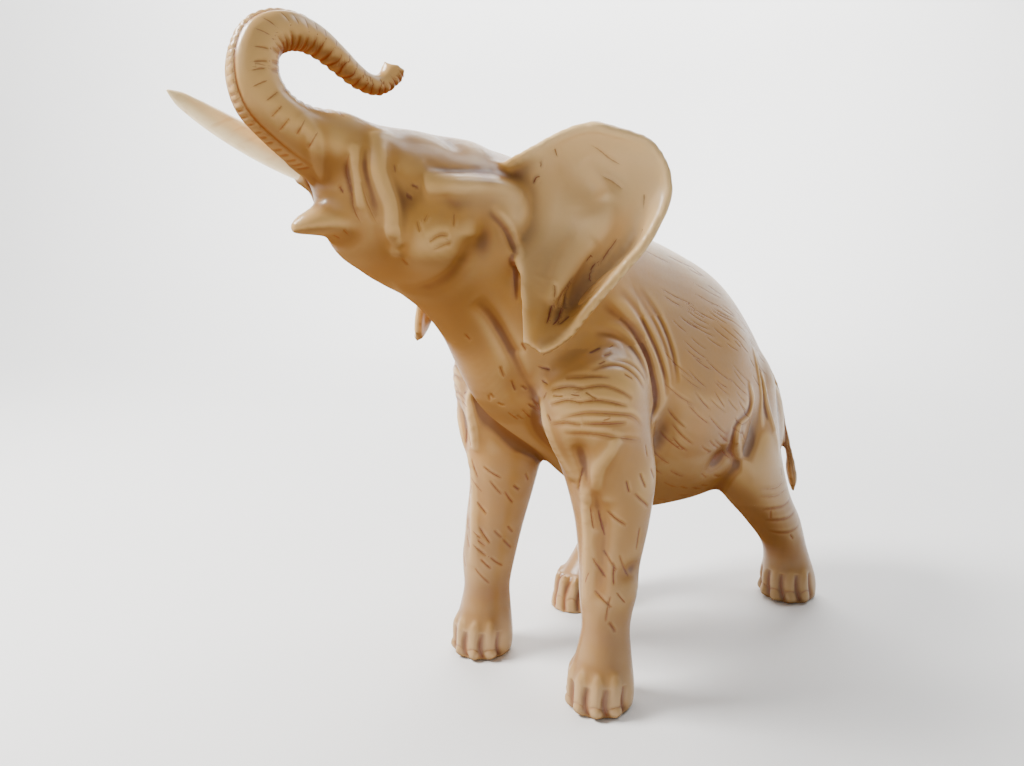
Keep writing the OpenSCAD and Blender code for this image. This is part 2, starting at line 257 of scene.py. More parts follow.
# Places where limbs blend into the body, in millimetres: centre and radius.
BLENDS = [
    ((38, -25, 250), 62), ((-52, -20, 250), 62),
    ((56, 8, 205), 42), ((-70, 8, 205), 42),
    ((50, -60, 215), 34), ((-64, -60, 215), 34),
    ((30, -50, 170), 34), ((-44, -50, 170), 34),
    ((62, 5, 165), 30), ((-74, 5, 165), 30),
    ((30, 145, 225), 48), ((-44, 145, 225), 48),
    ((52, 115, 185), 42), ((-66, 110, 185), 42),
    ((30, 110, 120), 40), ((-44, 90, 120), 40),
    ((50, 165, 170), 34), ((-60, 150, 160), 34),
    ((8, -112, 290), 45), ((-7, -180, 330), 28),
    ((35, -103, 330), 26), ((-49, -95, 325), 26),
    ((-36, -183, 348), 14), ((3, 228, 203), 16),
    ((27, 204, 152), 46), ((-41, 198, 160), 50), ((-41, 198, 130), 40), ((-41, 190, 190), 40),
]
# Muscles and hollows on the left side, in millimetres: centre, reach, height. Both sides have them.
SWELLS = [
    ((6, -184, 374), (16, 12, 10), 2.5),
    ((21, -170, 363), (7, 7, 6), 2.2),
    ((16, -146, 366), (15, 13, 9), 1.6),
    ((22, -129, 363), (9, 6, 8), -1.2),
    ((20, -111, 362), (18, 13, 10), 2.2),
    ((32, -140, 350), (14, 14, 6), -1.2),
    ((30, -162, 331), (9, 11, 12), -2.8),
    ((14, -187, 345), (5, 6, 14), -1.6),
    ((26, -150, 304), (15, 16, 15), 5.5),
    ((38, -134, 326), (12, 16, 9), -1.6),
    ((38, -118, 308), (10, 10, 18), -4.0),
    ((24, -170, 314), (2.6, 2.6, 2.6), 1.4),
    ((20, -166, 304), (2.8, 2.8, 2.8), 1.4),
    ((60, -35, 225), (20, 26, 26), 4.5),
    ((52, -14, 262), (18, 14, 20), 3.0),
    ((53, -55, 186), (7, 8, 13), -3.5),
    ((63, -10, 160), (14, 14, 18), 4.0),
    ((64, 22, 172), (14, 12, 22), -6.0),
    ((48, 118, 243), (20, 26, 20), 3.0),
    ((20, -78, 218), (9, 12, 22), -3.0),
    ((57, 138, 168), (10, 12, 20), -3.5),
    ((54, 96, 150), (12, 14, 12), -4.0),
    ((52, 160, 148), (12, 18, 26), 3.0),
    ((64, -22, 84), (7, 10, 9), 2.2),
    ((66, -20, 100), (7, 9, 6), -1.8),
]
# Beads and furrows on the left side: points, width, depth (negative stands out), bank, stain.
# Both sides have them.
FOLDS = [
    ([(18, -174, 362), (23, -176, 354), (24, -177, 344), (25, -175, 336), (26, -172, 327),
      (23, -169, 314), (22, -164, 307)], 4.0, -3.0, 0, 0),
    ([(21, -182, 355), (21, -183, 344), (21, -180, 332), (21, -177, 320)], 2.6, 1.0, 0, 0.1),
    ([(18, -187, 356), (17, -187, 345), (16, -185, 335), (15, -183, 325)], 2.6, -1.2, 0, 0),
    ([(33, -156, 338), (35, -148, 338), (38, -136, 338), (39, -122, 339), (39, -108, 338),
      (38, -96, 332)], 5.5, -3.6, 0, 0),
    ([(31, -154, 347), (35, -141, 345), (37, -122, 346), (36, -110, 347)], 4.0, 1.3, 0, 0.04),
    ([(9, -211, 367), (11, -205, 359), (5, -200, 346), (-3, -195, 338)], 3.2, -1.6, 0, 0),
    ([(-3, -148, 282), (10, -140, 282), (23, -133, 289), (31, -129, 299), (36, -129, 312)],
     8.0, 2.6, 0, 0),
    ([(40, -117, 325), (40, -106, 316), (38, -99, 307), (34, -93, 290), (32, -90, 274)],
     1.8, 1.5, 1.0, 0.35),
    ([(21, -113, 276), (22, -101, 265), (24, -84, 238), (27, -76, 214), (26, -62, 196)],
     4.5, 2.6, 0, 0.1),
    ([(26, -86, 243), (26, -76, 218), (34, -67, 197), (37, -58, 178), (42, -52, 160)],
     4.2, -2.8, 0, 0),
    ([(45, -15, 279), (50, -5, 266), (56, 7, 245), (61, 14, 227), (62, 18, 208)],
     2.4, 1.6, 0.5, 0.4),
    ([(47, -32, 272), (52, -13, 256), (57, -2, 240), (60, 4, 222), (61, 8, 204), (65, -4, 191)],
     3.6, 3.0, 0.8, 0.5),
    ([(46, -40, 254), (52, -24, 250), (60, -13, 238), (64, -8, 224)], 3.2, 1.4, 0.4, 0.2),
    ([(45, 7, 279), (52, 20, 259), (58, 26, 239), (62, 28, 216)], 2.0, 1.1, 0.3, 0.3),
    ([(44, -2, 282), (54, 14, 256), (60, 21, 234), (63, 23, 214)], 1.6, 0.6, 0.2, 0.3),
    ([(50, -56, 190), (52, -51, 172), (55, -44, 150), (56, -42, 128)], 4.4, 1.6, 0, 0.1),
    ([(66, -40, 196), (60, -46, 176), (56, -48, 160), (50, -50, 146)], 5.0, -2.4, 0, 0),
    ([(60, 123, 206), (62, 129, 192), (62, 124, 181), (63, 108, 175), (59, 113, 159),
      (54, 132, 141), (56, 146, 124)], 2.6, -1.9, 0, 0),
    ([(59, 119, 206), (60, 124, 191), (60, 119, 183), (61, 103, 175), (56, 108, 157),
      (51, 128, 138)], 3.0, 1.3, 0, 0.3),
    ([(47, 147, 230), (54, 146, 208), (58, 149, 188), (60, 152, 165)], 2.0, -1.8, 0, 0),
    ([(52, 157, 212), (56, 158, 192), (57, 168, 166), (58, 178, 140)], 2.2, -2.0, 0, 0),
    ([(50, 152, 222), (56, 152, 198), (58, 160, 170)], 1.6, 1.2, 0, 0.35),
    ([(50, -48, 152), (47, -44, 125), (46, -41, 98), (46, -41, 72)], 4.0, -2.0, 0, 0),
    ([(60, -39, 150), (57, -37, 125), (56, -38, 100), (56, -39, 80)], 4.5, 1.6, 0, 0.05),
    ([(-7, -62, 317), (-7, -20, 314), (-7, 40, 314), (-7, 100, 303), (-7, 150, 288),
      (-7, 190, 260)], 7.0, -2.2, 0, 0),
]
# Fine wrinkles on the left side: points, depth, stain. Both sides have them.
WRINKLES = [
    ([(57, -53, 232), (63, -35, 233), (68, -17, 219)], 0.9, 0.35),
    ([(46, -62, 227), (55, -58, 229), (64, -44, 227)], 0.7, 0.3),
    ([(55, -64, 222), (65, -50, 224), (70, -32, 215)], 1.0, 0.35),
    ([(40, -70, 221), (50, -66, 224), (58, -60, 223)], 0.7, 0.4),
    ([(57, -64, 215), (65, -53, 216), (70, -36, 211)], 0.9, 0.4),
    ([(40, -71, 212), (51, -68, 216), (59, -62, 215)], 0.8, 0.3),
    ([(47, -69, 204), (62, -59, 209), (71, -34, 205), (72, -20, 196)], 0.9, 0.35),
    ([(59, -62, 202), (66, -52, 202), (71, -36, 201)], 0.8, 0.55),
    ([(48, -66, 195), (65, -53, 195), (72, -21, 187)], 0.8, 0.3),
    ([(40, -68, 199), (50, -66, 202), (58, -62, 201)], 0.6, 0.3),
    ([(62, -40, 240), (66, -24, 234), (68, -12, 224)], 0.7, 0.3),
    ([(29, -152, 309), (32, -148, 312), (34, -143, 312)], 0.7, 0.25),
    ([(29, -150, 306), (32, -145, 308), (33, -141, 309)], 0.6, 0.2),
    ([(17, -189, 352), (14, -190, 343), (13, -188, 333)], 0.4, 0.2),
    ([(14, -189, 336), (13, -187, 327), (15, -184, 318)], 0.4, 0.25),
    ([(20, -185, 338), (20, -182, 328), (21, -178, 318)], 0.4, 0.15),
    ([(54, 155, 115), (62, 172, 112), (64, 190, 116)], 0.7, 0.3),
    ([(52, 158, 108), (60, 174, 105), (62, 192, 108)], 0.7, 0.3),
    ([(50, 168, 96), (60, 184, 94), (62, 200, 98)], 0.7, 0.3),
    ([(50, 176, 84), (60, 192, 82), (64, 206, 86)], 0.7, 0.3),
    ([(50, 184, 70), (60, 198, 68), (66, 212, 72)], 0.7, 0.3),
]
WRINKLE_WIDTH = 1.7
# Red stain left in hollows: centre, radius, strength. Both sides have them.
BLOTS = [
    ((38, -120, 344), 11, 0.55), ((35, -108, 345), 9, 0.5), ((60, 93, 170), 9, 0.55),
    ((56, 94, 150), 10, 0.55), ((30, -80, 226), 8, 0.4), ((38, -72, 230), 9, 0.3),
    ((60, 20, 165), 14, 0.25), ((62, -72, 286), 20, 0.22), ((66, -52, 322), 14, 0.15),
]
class CastingSettings(bpy.types.PropertyGroup):
    """Sizes of the modelled surface."""
    grain: bpy.props.FloatProperty(
        name="Grain", description="Spacing of the surface mesh",
        default=0.0023, min=0.0012, unit="LENGTH", subtype="DISTANCE")
    ear_thickness: bpy.props.FloatProperty(
        name="Ear thickness", description="Thickness of an ear inside its rim",
        default=0.005, unit="LENGTH", subtype="DISTANCE")
    rim: bpy.props.FloatProperty(
        name="Ear rim", description="Radius of the rolled rim of an ear",
        default=0.0034, unit="LENGTH", subtype="DISTANCE")


class FinishSettings(bpy.types.PropertyGroup):
    """Colours of the finishes."""
    body: bpy.props.FloatVectorProperty(
        name="Body", description="Main colour of the resin",
        default=(0.47, 0.225, 0.045), subtype="COLOR", size=3)
    dull: bpy.props.FloatVectorProperty(
        name="Dull", description="Greyer patches of the resin",
        default=(0.38, 0.20, 0.06), subtype="COLOR", size=3)
    # Brown of the patina in the hollows, also used as painted shade in broad hollows, on undersides
    # and low on the legs.
    patina_and_shade: bpy.props.FloatVectorProperty(
        name="Hollow", description="Amber brown in the hollows",
        default=(0.12, 0.044, 0.012), subtype="COLOR", size=3)
    light: bpy.props.FloatVectorProperty(
        name="Worn", description="Colour of ridges and rubbed places",
        default=(0.74, 0.46, 0.17), subtype="COLOR", size=3)
    stain: bpy.props.FloatVectorProperty(
        name="Stain", description="Colour of the stain in the tooled marks",
        default=(0.19, 0.035, 0.008), subtype="COLOR", size=3)
    # Also the colour of the painted light on the upper part of the ears.
    nail: bpy.props.FloatVectorProperty(
        name="Nails", description="Colour of the toenails",
        default=(0.82, 0.57, 0.28), subtype="COLOR", size=3)
    tusk: bpy.props.FloatVectorProperty(
        name="Tusk", description="Colour of the tusk",
        default=(0.93, 0.72, 0.38), subtype="COLOR", size=3)
    steel: bpy.props.FloatVectorProperty(
        name="Steel", description="Colour of the dowels, pins and wire",
        default=(0.56, 0.56, 0.58), subtype="COLOR", size=3)
    floor: bpy.props.FloatVectorProperty(
        name="Floor", description="Colour of the floor",
        default=(0.88, 0.88, 0.875), subtype="COLOR", size=3)


# ---------------------------------------------------------------- shaping helpers

def between(a, b, c, d, t):
    """A smooth curve through b and c, guided by a and d."""
    return (2 * b + (c - a) * t + (2 * a - 5 * b + 4 * c - d) * t * t
            + (3 * b - a - 3 * c + d) * t ** 3) / 2


def smooth_run(rows, steps):
    """The rows with steps - 1 smooth ones put in between each pair."""
    rows = [np.array(r, float) for r in rows]
    last = len(rows) - 1
    out = []
    for i in range(last):
        a, b, c, d = rows[max(i - 1, 0)], rows[i], rows[i + 1], rows[min(i + 2, last)]
        out += [between(a, b, c, d, j / steps) for j in range(steps)]
    return out + [rows[-1]]


def ring_point(station, turn):
    """The point of a station's ring at a turn, from its side over its top, in metres."""
    x, y, z, tilt, side, up, down = station[:7]
    ridge = station[7] if len(station) > 7 else 0
    rise = math.sin(turn) * (down if math.sin(turn) < 0 else up)
    narrow = 1 - ridge * max(0, math.sin(turn))
    slope = math.radians(tilt)
    p = np.array([x + side * math.cos(turn) * narrow, y + rise * math.sin(slope),
                  z + rise * math.cos(slope)])
    return Vector((p + SHIFT) * MM)


def loft(bm, stations, steps=6, sides=48):
    """Extrudes a ring along the stations and closes both ends."""
    layer = bm.verts.layers.float.get("turn") or bm.verts.layers.float.new("turn")
    run = smooth_run(stations, steps)
    ring = bmesh.ops.create_circle(bm, segments=sides, radius=1, cap_ends=False)["verts"]
    for v in ring:
        v[layer] = math.atan2(v.co.y, v.co.x)
        v.co = ring_point(run[0], v[layer])
    edges = list({e for v in ring for e in v.link_edges})
    ends = [edges]
    made = list(ring)
    for station in run[1:]:
        geom = bmesh.ops.extrude_edge_only(bm, edges=edges)["geom"]
        new = {g for g in geom if isinstance(g, bmesh.types.BMVert)}
        edges = [g for g in geom
                 if isinstance(g, bmesh.types.BMEdge) and g.verts[0] in new and g.verts[1] in new]
        for v in new:
            v.co = ring_point(station, v[layer])
        made += list(new)
    ends.append(edges)
    for end in ends:
        bmesh.ops.contextual_create(bm, geom=end)
    return made


def ball(bm, centre, radii, turn=0):
    """An egg at a point, with its three radii, turned about Z by degrees."""
    place = (Matrix.Translation(Vector((np.array(centre) + SHIFT) * MM))
             @ Matrix.Rotation(math.radians(turn), 4, "Z")
             @ Matrix.Diagonal(Vector((*[r * MM for r in radii], 1))))
    return bmesh.ops.create_icosphere(bm, subdivisions=3, radius=1, matrix=place)["verts"]


def ear_point(row, u):
    """A point of an ear's row, from the head at 0 to the rim at 1, in millimetres."""
    root, middle, rim = (row[0:3], row[3:6], row[6:9])
    return 2 * (u - 0.5) * (u - 1) * root - 4 * u * (u - 1) * middle + 2 * u * (u - 0.5) * rim


def ear_bulge(row, u):
    """How far the sheet of the ear stands out in front of its plain bowl, in millimetres."""
    out = 0.0
    for centre, radii, height in EAR_FORMS:
        out += height * math.exp(-((row - centre[0]) / radii[0]) ** 2
                                 - ((u - centre[1]) / radii[1]) ** 2)
    return out * min(1, max(0, (u - 0.2) / 0.2))


def ear(bm, sheet, rim):
    """One left ear: a curved sheet with a rolled rim."""
    rows = EAR_RUN
    grid = bmesh.ops.create_grid(bm, x_segments=28, y_segments=len(rows) - 1, size=0.5)["verts"]
    spots = {}
    for v in grid:
        k = round((v.co.y + 0.5) * (len(rows) - 1))
        inside = EAR_INSIDE * min(1, max(0, (4 - k / EAR_FINE) / 1.5))
        u = (v.co.x + 0.5) * (1 + inside) - inside
        spots[v] = (k / EAR_FINE, u)
        v.co = Vector((ear_point(rows[k], u) + SHIFT) * MM)
    faces = list({f for v in grid for f in v.link_faces})
    bmesh.ops.recalc_face_normals(bm, faces=faces)
    if sum(f.normal.y for f in faces) > 0:
        bmesh.ops.reverse_faces(bm, faces=faces)
    bm.normal_update()
    moves = {v: v.normal * (ear_bulge(*spots[v]) * MM + sheet / 2) for v in grid}
    for v in grid:
        v.co += moves[v]
    edge = [v.co.copy() for v in sorted((v for v in grid if spots[v][1] > 0.999),
                                        key=lambda v: spots[v][0])]
    top = [v.co.copy() for v in sorted((v for v in grid if spots[v][0] == 0 and
                                        spots[v][1] < 0.999), key=lambda v: spots[v][1])]
    before = set(bm.verts)
    bmesh.ops.solidify(bm, geom=faces, thickness=sheet)
    made = grid + [v for v in bm.verts if v not in before]
    made += cable(bm, top + edge, rim)
    front = [Vector((ear_point(row, 0.02) + SHIFT) * MM) for row in rows[3 * EAR_FINE:]]
    made += cable(bm, front, rim * 0.9)
    return made


def cable(bm, points, radius, sides=16):
    """A round bead along points in metres, with its ends closed."""
    points = [Vector(p) for p in points]
    ways = [(points[min(i + 1, len(points) - 1)] - points[max(i - 1, 0)]).normalized()
            for i in range(len(points))]
    turn = Vector((0, 0, 1)).rotation_difference(ways[0]).to_matrix().to_4x4()
    ring = bmesh.ops.create_circle(bm, segments=sides, radius=radius, cap_ends=False,
                                   matrix=Matrix.Translation(points[0]) @ turn)["verts"]
    edges = list({e for v in ring for e in v.link_edges})
    ends = [edges]
    made = list(ring)
    for i in range(1, len(points)):
        geom = bmesh.ops.extrude_edge_only(bm, edges=edges)["geom"]
        new = {g for g in geom if isinstance(g, bmesh.types.BMVert)}
        edges = [g for g in geom
                 if isinstance(g, bmesh.types.BMEdge) and g.verts[0] in new and g.verts[1] in new]
        step = ways[i - 1].rotation_difference(ways[i]).to_matrix()
        for v in new:
            v.co = points[i] + step @ (v.co - points[i - 1])
        made += list(new)
    ends.append(edges)
    for end in ends:
        bmesh.ops.contextual_create(bm, geom=end)
    return made


def to_right(bm, verts):
    """Puts a left ear's points where the right ear is."""
    flip = Matrix.Translation(Vector(SHIFT * MM)) @ Matrix.Scale(-1, 4, Vector((1, 0, 0)))
    flip = flip @ Matrix.Translation(Vector(-SHIFT * MM))
    pivot = Vector((RIGHT_EAR_PIVOT + SHIFT) * MM)
    move = Matrix.Translation(pivot + Vector(RIGHT_EAR_MOVE * MM))
    turn = Matrix.Rotation(math.radians(RIGHT_EAR_TURN), 4, "Z")
    bmesh.ops.transform(bm, matrix=move @ turn @ Matrix.Translation(-pivot) @ flip, verts=verts)


EAR_RUN = smooth_run([sum([list(p) for p in row], []) for row in EAR_ROWS], EAR_FINE)


def mirrored(points):
    """The same points on the other side of the animal."""
    return [(2 * SHIFT[0] - x, y, z) for x, y, z in points]


def on_right_ear(p):
    """A point of the left ear, without the shift, put on the right ear."""
    q = np.array(p, float) * (-1, 1, 1) - RIGHT_EAR_PIVOT
    a = math.radians(RIGHT_EAR_TURN)
    turned = np.array([q[0] * math.cos(a) - q[1] * math.sin(a),
                       q[0] * math.sin(a) + q[1] * math.cos(a), q[2]])
    return turned + RIGHT_EAR_PIVOT + RIGHT_EAR_MOVE


def skin_point(stations, place, turn):
    """A point in millimetres on a loft, place stations along and turn degrees round it."""
    i = min(int(place), len(stations) - 2)
    rows = [np.array(r[:7], float) for r in stations]
    s = between(rows[max(i - 1, 0)], rows[i], rows[i + 1], rows[min(i + 2, len(rows) - 1)],
                place - i)
    return np.array(ring_point(s, math.radians(turn))) / MM


def new_object(name, bm):
    """An object at the origin with the mesh, which is used up."""
    mesh = bpy.data.meshes.new(name)
    bm.to_mesh(mesh)
    bm.free()
    made = bpy.data.objects.new(name, mesh)
    bpy.context.scene.collection.objects.link(made)
    return made


def remeshed(obj, size):
    """The object's mesh rebuilt as one skin."""
    modifier = obj.modifiers.new("skin", "REMESH")
    modifier.mode = "VOXEL"
    modifier.voxel_size = size
    modifier.use_smooth_shade = True
    bpy.context.view_layer.update()
    shape = obj.evaluated_get(bpy.context.evaluated_depsgraph_get())
    mesh = bpy.data.meshes.new_from_object(shape)
    obj.modifiers.clear()
    old = obj.data
    obj.data = mesh
    bpy.data.meshes.remove(old)


class Clay:
    """A mesh's points as arrays, pushed about along their normals."""

    def __init__(self, mesh):
        self.mesh = mesh
        n = len(mesh.vertices)
        self.co = np.empty(n * 3)
        mesh.vertices.foreach_get("co", self.co)
        self.co = self.co.reshape(n, 3)
        self.edges = np.empty(len(mesh.edges) * 2, int)
        mesh.edges.foreach_get("vertices", self.edges)
        self.edges = self.edges.reshape(-1, 2)
        self.count = np.bincount(self.edges.ravel(), minlength=n).astype(float)
        self.marks = {name: np.zeros(n) for name in ("stain", "pale", "shade", "ink")}
        for name, values in self.marks.items():
            if name in mesh.attributes:
                mesh.attributes[name].data.foreach_get("value", values)
        self.mark = np.zeros((n, 3))
        self.best = np.full(n, 1e9)
        self.lines = []
        self.refresh()

    def refresh(self):
        """Writes the points back and takes new normals."""
        self.mesh.vertices.foreach_set("co", self.co.ravel())
        self.mesh.update()
        self.no = np.empty(len(self.co) * 3, np.float32)
        self.mesh.vertex_normals.foreach_get("vector", self.no)
        self.no = self.no.reshape(-1, 3).astype(float)
        faces = [p.vertices[:] for p in self.mesh.polygons]
        self.tree = BVHTree.FromPolygons([Vector(c) for c in self.co], faces)

    def average(self, values):
        """Each point's mean of its neighbours' values."""
        a, b = self.edges.T
        out = np.empty_like(values)
        n = len(self.co)
        for k in range(values.shape[1]):
            out[:, k] = (np.bincount(a, values[b, k], n) + np.bincount(b, values[a, k], n))
        return out / self.count[:, None]

    def relax(self, rounds, weight=1.0):
        """Smooths the points, more where weight is larger."""
        w = np.broadcast_to(np.asarray(weight, float), (len(self.co),))[:, None] * 0.5
        for _ in range(rounds):
            self.co += (self.average(self.co) - self.co) * w

    def near(self, centre, radius):
        """1 at a point in millimetres, falling to 0 at the radius."""
        d = np.linalg.norm(self.co - np.array(centre) * MM, axis=1) / (radius * MM)
        return np.clip(1 - d * d, 0, 1) ** 2

    def swell(self, centre, radii, height):
        """Raises or sinks an egg-shaped patch, in millimetres."""
        d = (self.co - np.array(centre) * MM) / (np.array(radii) * MM)
        amount = np.exp(-(d * d).sum(1)) * height * MM
        self.co += self.no * amount[:, None]

    def snap(self, points, step):
        """Points in millimetres, joined smoothly and laid on the surface."""
        run = smooth_run(points, 8) if len(points) > 2 else [np.array(p, float) for p in points]
        out = []
        for a, b in zip(run, run[1:]):
            n = max(1, int(np.linalg.norm(b - a) / step))
            out += [a + (b - a) * i / n for i in range(n)]
        out.append(run[-1])
        return np.array([self.tree.find_nearest(Vector(p * MM))[0][:] for p in out])

    def carve(self, points, width, depth, lip=0.0, stain=0.0, ink=0.0):
        """Cuts a groove, or raises a bead where depth is negative. Lip raises its left bank.
        Stain colours the groove, and ink draws a fine line along it."""
        path = self.snap(points, PATH_STEP)
        reach = 4 * max(width, 1.0) * MM
        low, high = path.min(0) - reach, path.max(0) + reach
        ids = np.where(((self.co > low) & (self.co < high)).all(1))[0]
        if not len(ids) or len(path) < 3:
            return
        delta = self.co[ids][:, None] - path[None]
        dist = np.linalg.norm(delta, axis=2)
        k = dist.argmin(1)
        rows = np.arange(len(ids))
        d = dist[rows, k] / (width * MM)
        way = np.gradient(path, axis=0)
        step = np.linalg.norm(way, axis=1)[:, None] + 1e-12
        way /= step
        across = np.cross(self.no[ids], way[k])
        across /= np.linalg.norm(across, axis=1)[:, None] + 1e-9
        offset = delta[rows, k]
        side = (offset * across).sum(1)
        s = side / (width * MM)
        t = (k + (offset * way[k]).sum(1) / step[k, 0]) / (len(path) - 1)
        fade = np.sqrt(np.clip(np.minimum(t, 1 - t) / FADE_SHARE, 0, 1))
        shape = np.exp(-d * d) * fade
        bank = np.exp(-((s - BANK_PLACE) / BANK_WIDTH) ** 2)
        bank *= np.exp(-np.maximum(0, d - BANK_REACH) ** 2) * fade
        push = -depth * shape + lip * bank
        self.co[ids] += self.no[ids] * (push * MM)[:, None]
        self.marks["stain"][ids] = np.maximum(self.marks["stain"][ids], shape * stain)
        if ink:
            real = dist[rows, k]
            won = (real < self.best[ids]) & (real < INK_REACH * MM)
            hit = ids[won]
            self.best[hit] = real[won]
            self.mark[hit, 0] = side[won] / MM
            self.mark[hit, 1] = t[won]
            self.mark[hit, 2] = 1 - real[won] / (INK_REACH * MM)
            self.marks["ink"][hit] = ink

    def scatter(self, rng, count, low, high, way, length, curve=0.0, depth=0.5, ink=0.8,
                facing=None, spread=0.12):
        """Short tooled strokes at random inside a box, lying along a way."""
        inside = ((self.co > np.array(low) * MM) & (self.co < np.array(high) * MM)).all(1)
        if facing is not None:
            inside &= (self.no @ np.array(facing) > FACING_LEAST)
        ids = np.where(inside)[0]
        if not len(ids):
            return
        for _ in range(count):
            v = ids[rng.randrange(len(ids))]
            size = rng.uniform(*length)
            tilt = rng.gauss(0, spread)
            strength = ink * rng.uniform(*INK_SPREAD)
            cut = depth * rng.uniform(*CUT_SPREAD)
            if self.best[v] < LINE_GAP * MM:
                continue
            no = self.no[v]
            base = np.array(way(self.co[v] / MM) if callable(way) else way, float)
            base -= no * (base @ no)
            base /= np.linalg.norm(base) + 1e-9
            side = np.cross(no, base)
            base = base * math.cos(tilt) + side * math.sin(tilt)
            p = self.co[v] / MM
            bend = side * curve * size
            ends = [p - base * size / 2 + bend, p, p + base * size / 2 + bend]
            if not self.clear(ends):
                continue
            self.carve(ends, STROKE_WIDTH, cut, STROKE_LIP, STROKE_STAIN, min(1, strength))

    def clear(self, ends):
        """True where no other stroke is near; the new one's points are then kept."""
        for p in (ends[0], ends[-1]):
            q = np.array(p) * MM
            d = self.lines
            if d and min(np.abs(np.array(d) - q).sum(1)) < LINE_GAP * MM:
                return False
        for t in (0, 0.25, 0.5, 0.75, 1):
            self.lines.append(tuple((np.array(ends[0]) * (1 - t) + np.array(ends[-1]) * t) * MM))
        return True

    def hollows(self):
        """How far each point lies below (+) or above (-) its smoothed surroundings."""
        out = []
        smooth = self.co.copy()
        for rounds in HOLLOW_ROUNDS:
            for _ in range(rounds):
                smooth += (self.average(smooth) - smooth) * 0.5
            out.append(((smooth - self.co) * self.no).sum(1) / MM)
        return out

    def save(self):
        """Writes the points and the marks to the mesh."""
        self.refresh()
        for name, values in self.marks.items():
            layer = (self.mesh.attributes.get(name)
                     or self.mesh.attributes.new(name, "FLOAT", "POINT"))
            layer.data.foreach_set("value", np.clip(values, -1, 1).astype(np.float32))
        layer = (self.mesh.attributes.get("mark")
                 or self.mesh.attributes.new("mark", "FLOAT_VECTOR", "POINT"))
        layer.data.foreach_set("vector", self.mark.astype(np.float32).ravel())


# ---------------------------------------------------------------- materials

def group(name, inputs, outputs):
    """A shader node group with its named sockets."""
    tree = bpy.data.node_groups.new(name, "ShaderNodeTree")
    for label, kind, value in inputs:
        socket = tree.interface.new_socket(name=label, in_out="INPUT", socket_type=kind)
        if value is not None:
            socket.default_value = value
    for label, kind in outputs:
        tree.interface.new_socket(name=label, in_out="OUTPUT", socket_type=kind)
    return tree, tree.nodes.new("NodeGroupInput"), tree.nodes.new("NodeGroupOutput")


def math_node(tree, operation, a, b=None):
    """A sum on values or sockets."""
    node = tree.nodes.new("ShaderNodeMath")
    node.operation = operation
    for i, value in enumerate((a, b)):
        if value is None:
            continue
        if isinstance(value, (int, float)):
            node.inputs[i].default_value = value
        else:
            tree.links.new(value, node.inputs[i])
    return node.outputs[0]


def ramp(tree, value, low, high, to_low=0.0, to_high=1.0):
    """A value that goes smoothly from one level to another as the input goes from low to high."""
    node = tree.nodes.new("ShaderNodeMapRange")
    node.interpolation_type = "SMOOTHSTEP"
    for name, v in (("From Min", low), ("From Max", high), ("To Min", to_low), ("To Max", to_high)):
        node.inputs[name].default_value = v
    tree.links.new(value, node.inputs["Value"])
    return node.outputs["Result"]


def mix(tree, factor, a, b):
    """Colour a going over to colour b."""
    node = tree.nodes.new("ShaderNodeMix")
    node.data_type = "RGBA"
    for socket, value in ((node.inputs[0], factor), (node.inputs[6], a), (node.inputs[7], b)):
        if isinstance(value, (int, float, tuple)):
            socket.default_value = value if not isinstance(value, tuple) else (*value[:3], 1)
        else:
            tree.links.new(value, socket)
    return node.outputs[2]


def placed(tree, rotation=(0, 0, 0), scale=(1, 1, 1)):
    """Object coordinates, turned in degrees and stretched."""
    coords = tree.nodes.new("ShaderNodeTexCoord")
    turn = tree.nodes.new("ShaderNodeMapping")
    turn.vector_type = "TEXTURE"
    turn.inputs["Rotation"].default_value = [math.radians(r) for r in rotation]
    turn.inputs["Scale"].default_value = scale
    tree.links.new(coords.outputs["Object"], turn.inputs["Vector"])
    return turn.outputs["Vector"]


def noise_node(tree, vector, scale, detail=3, rough=0.5):
    """A noise's grey value."""
    node = tree.nodes.new("ShaderNodeTexNoise")
    node.inputs["Scale"].default_value = scale
    node.inputs["Detail"].default_value = detail
    node.inputs["Roughness"].default_value = rough
    tree.links.new(vector, node.inputs["Vector"])
    return node.outputs["Fac"]


def strokes_group():
    """A fine line, from how far a point is across it, along it and from it."""
    tree, start, end = group(
        "tooled line",
        [("Mark", "NodeSocketVector", None), ("Ink", "NodeSocketFloat", 0.0),
         ("Width", "NodeSocketFloat", 0.6), ("Wobble", "NodeSocketFloat", 0.0)],
        [("Mask", "NodeSocketFloat"), ("Cut", "NodeSocketFloat")])
    parts = tree.nodes.new("ShaderNodeSeparateXYZ")
    tree.links.new(start.outputs["Mark"], parts.inputs[0])
    across = math_node(tree, "ABSOLUTE", parts.outputs[0])
    along = math_node(tree, "SUBTRACT", parts.outputs[1], 0.5)
    along = math_node(tree, "MULTIPLY", math_node(tree, "ABSOLUTE", along), 2.0)
    taper = ramp(tree, along, 0.5, 1.08, 1.0, 0.0)
    width = math_node(tree, "MULTIPLY", taper,
                      math_node(tree, "ADD", start.outputs["Width"], start.outputs["Wobble"]))
    near = ramp(tree, parts.outputs[2], 0.42, 0.58)
    edge = math_node(tree, "DIVIDE", across, math_node(tree, "MAXIMUM", width, 0.02))
    line = ramp(tree, edge, 0.55, 1.25, 1.0, 0.0)
    line = math_node(tree, "MULTIPLY", line, near)
    tree.links.new(math_node(tree, "MULTIPLY", line, start.outputs["Ink"]), end.inputs["Mask"])
    tree.links.new(line, end.inputs["Cut"])
    return tree


def mottle_group():
    """Slow patches and fine pores of a stained casting."""
    tree, start, end = group(
        "mottle", [("Vector", "NodeSocketVector", None)],
        [("Patches", "NodeSocketFloat"), ("Pores", "NodeSocketFloat")])
    slow = noise_node(tree, start.outputs["Vector"], 28, 4, 0.55)
    fine = noise_node(tree, start.outputs["Vector"], 420, 3, 0.6)
    tree.links.new(ramp(tree, slow, 0.3, 0.7), end.inputs["Patches"])
    tree.links.new(fine, end.inputs["Pores"])
    return tree


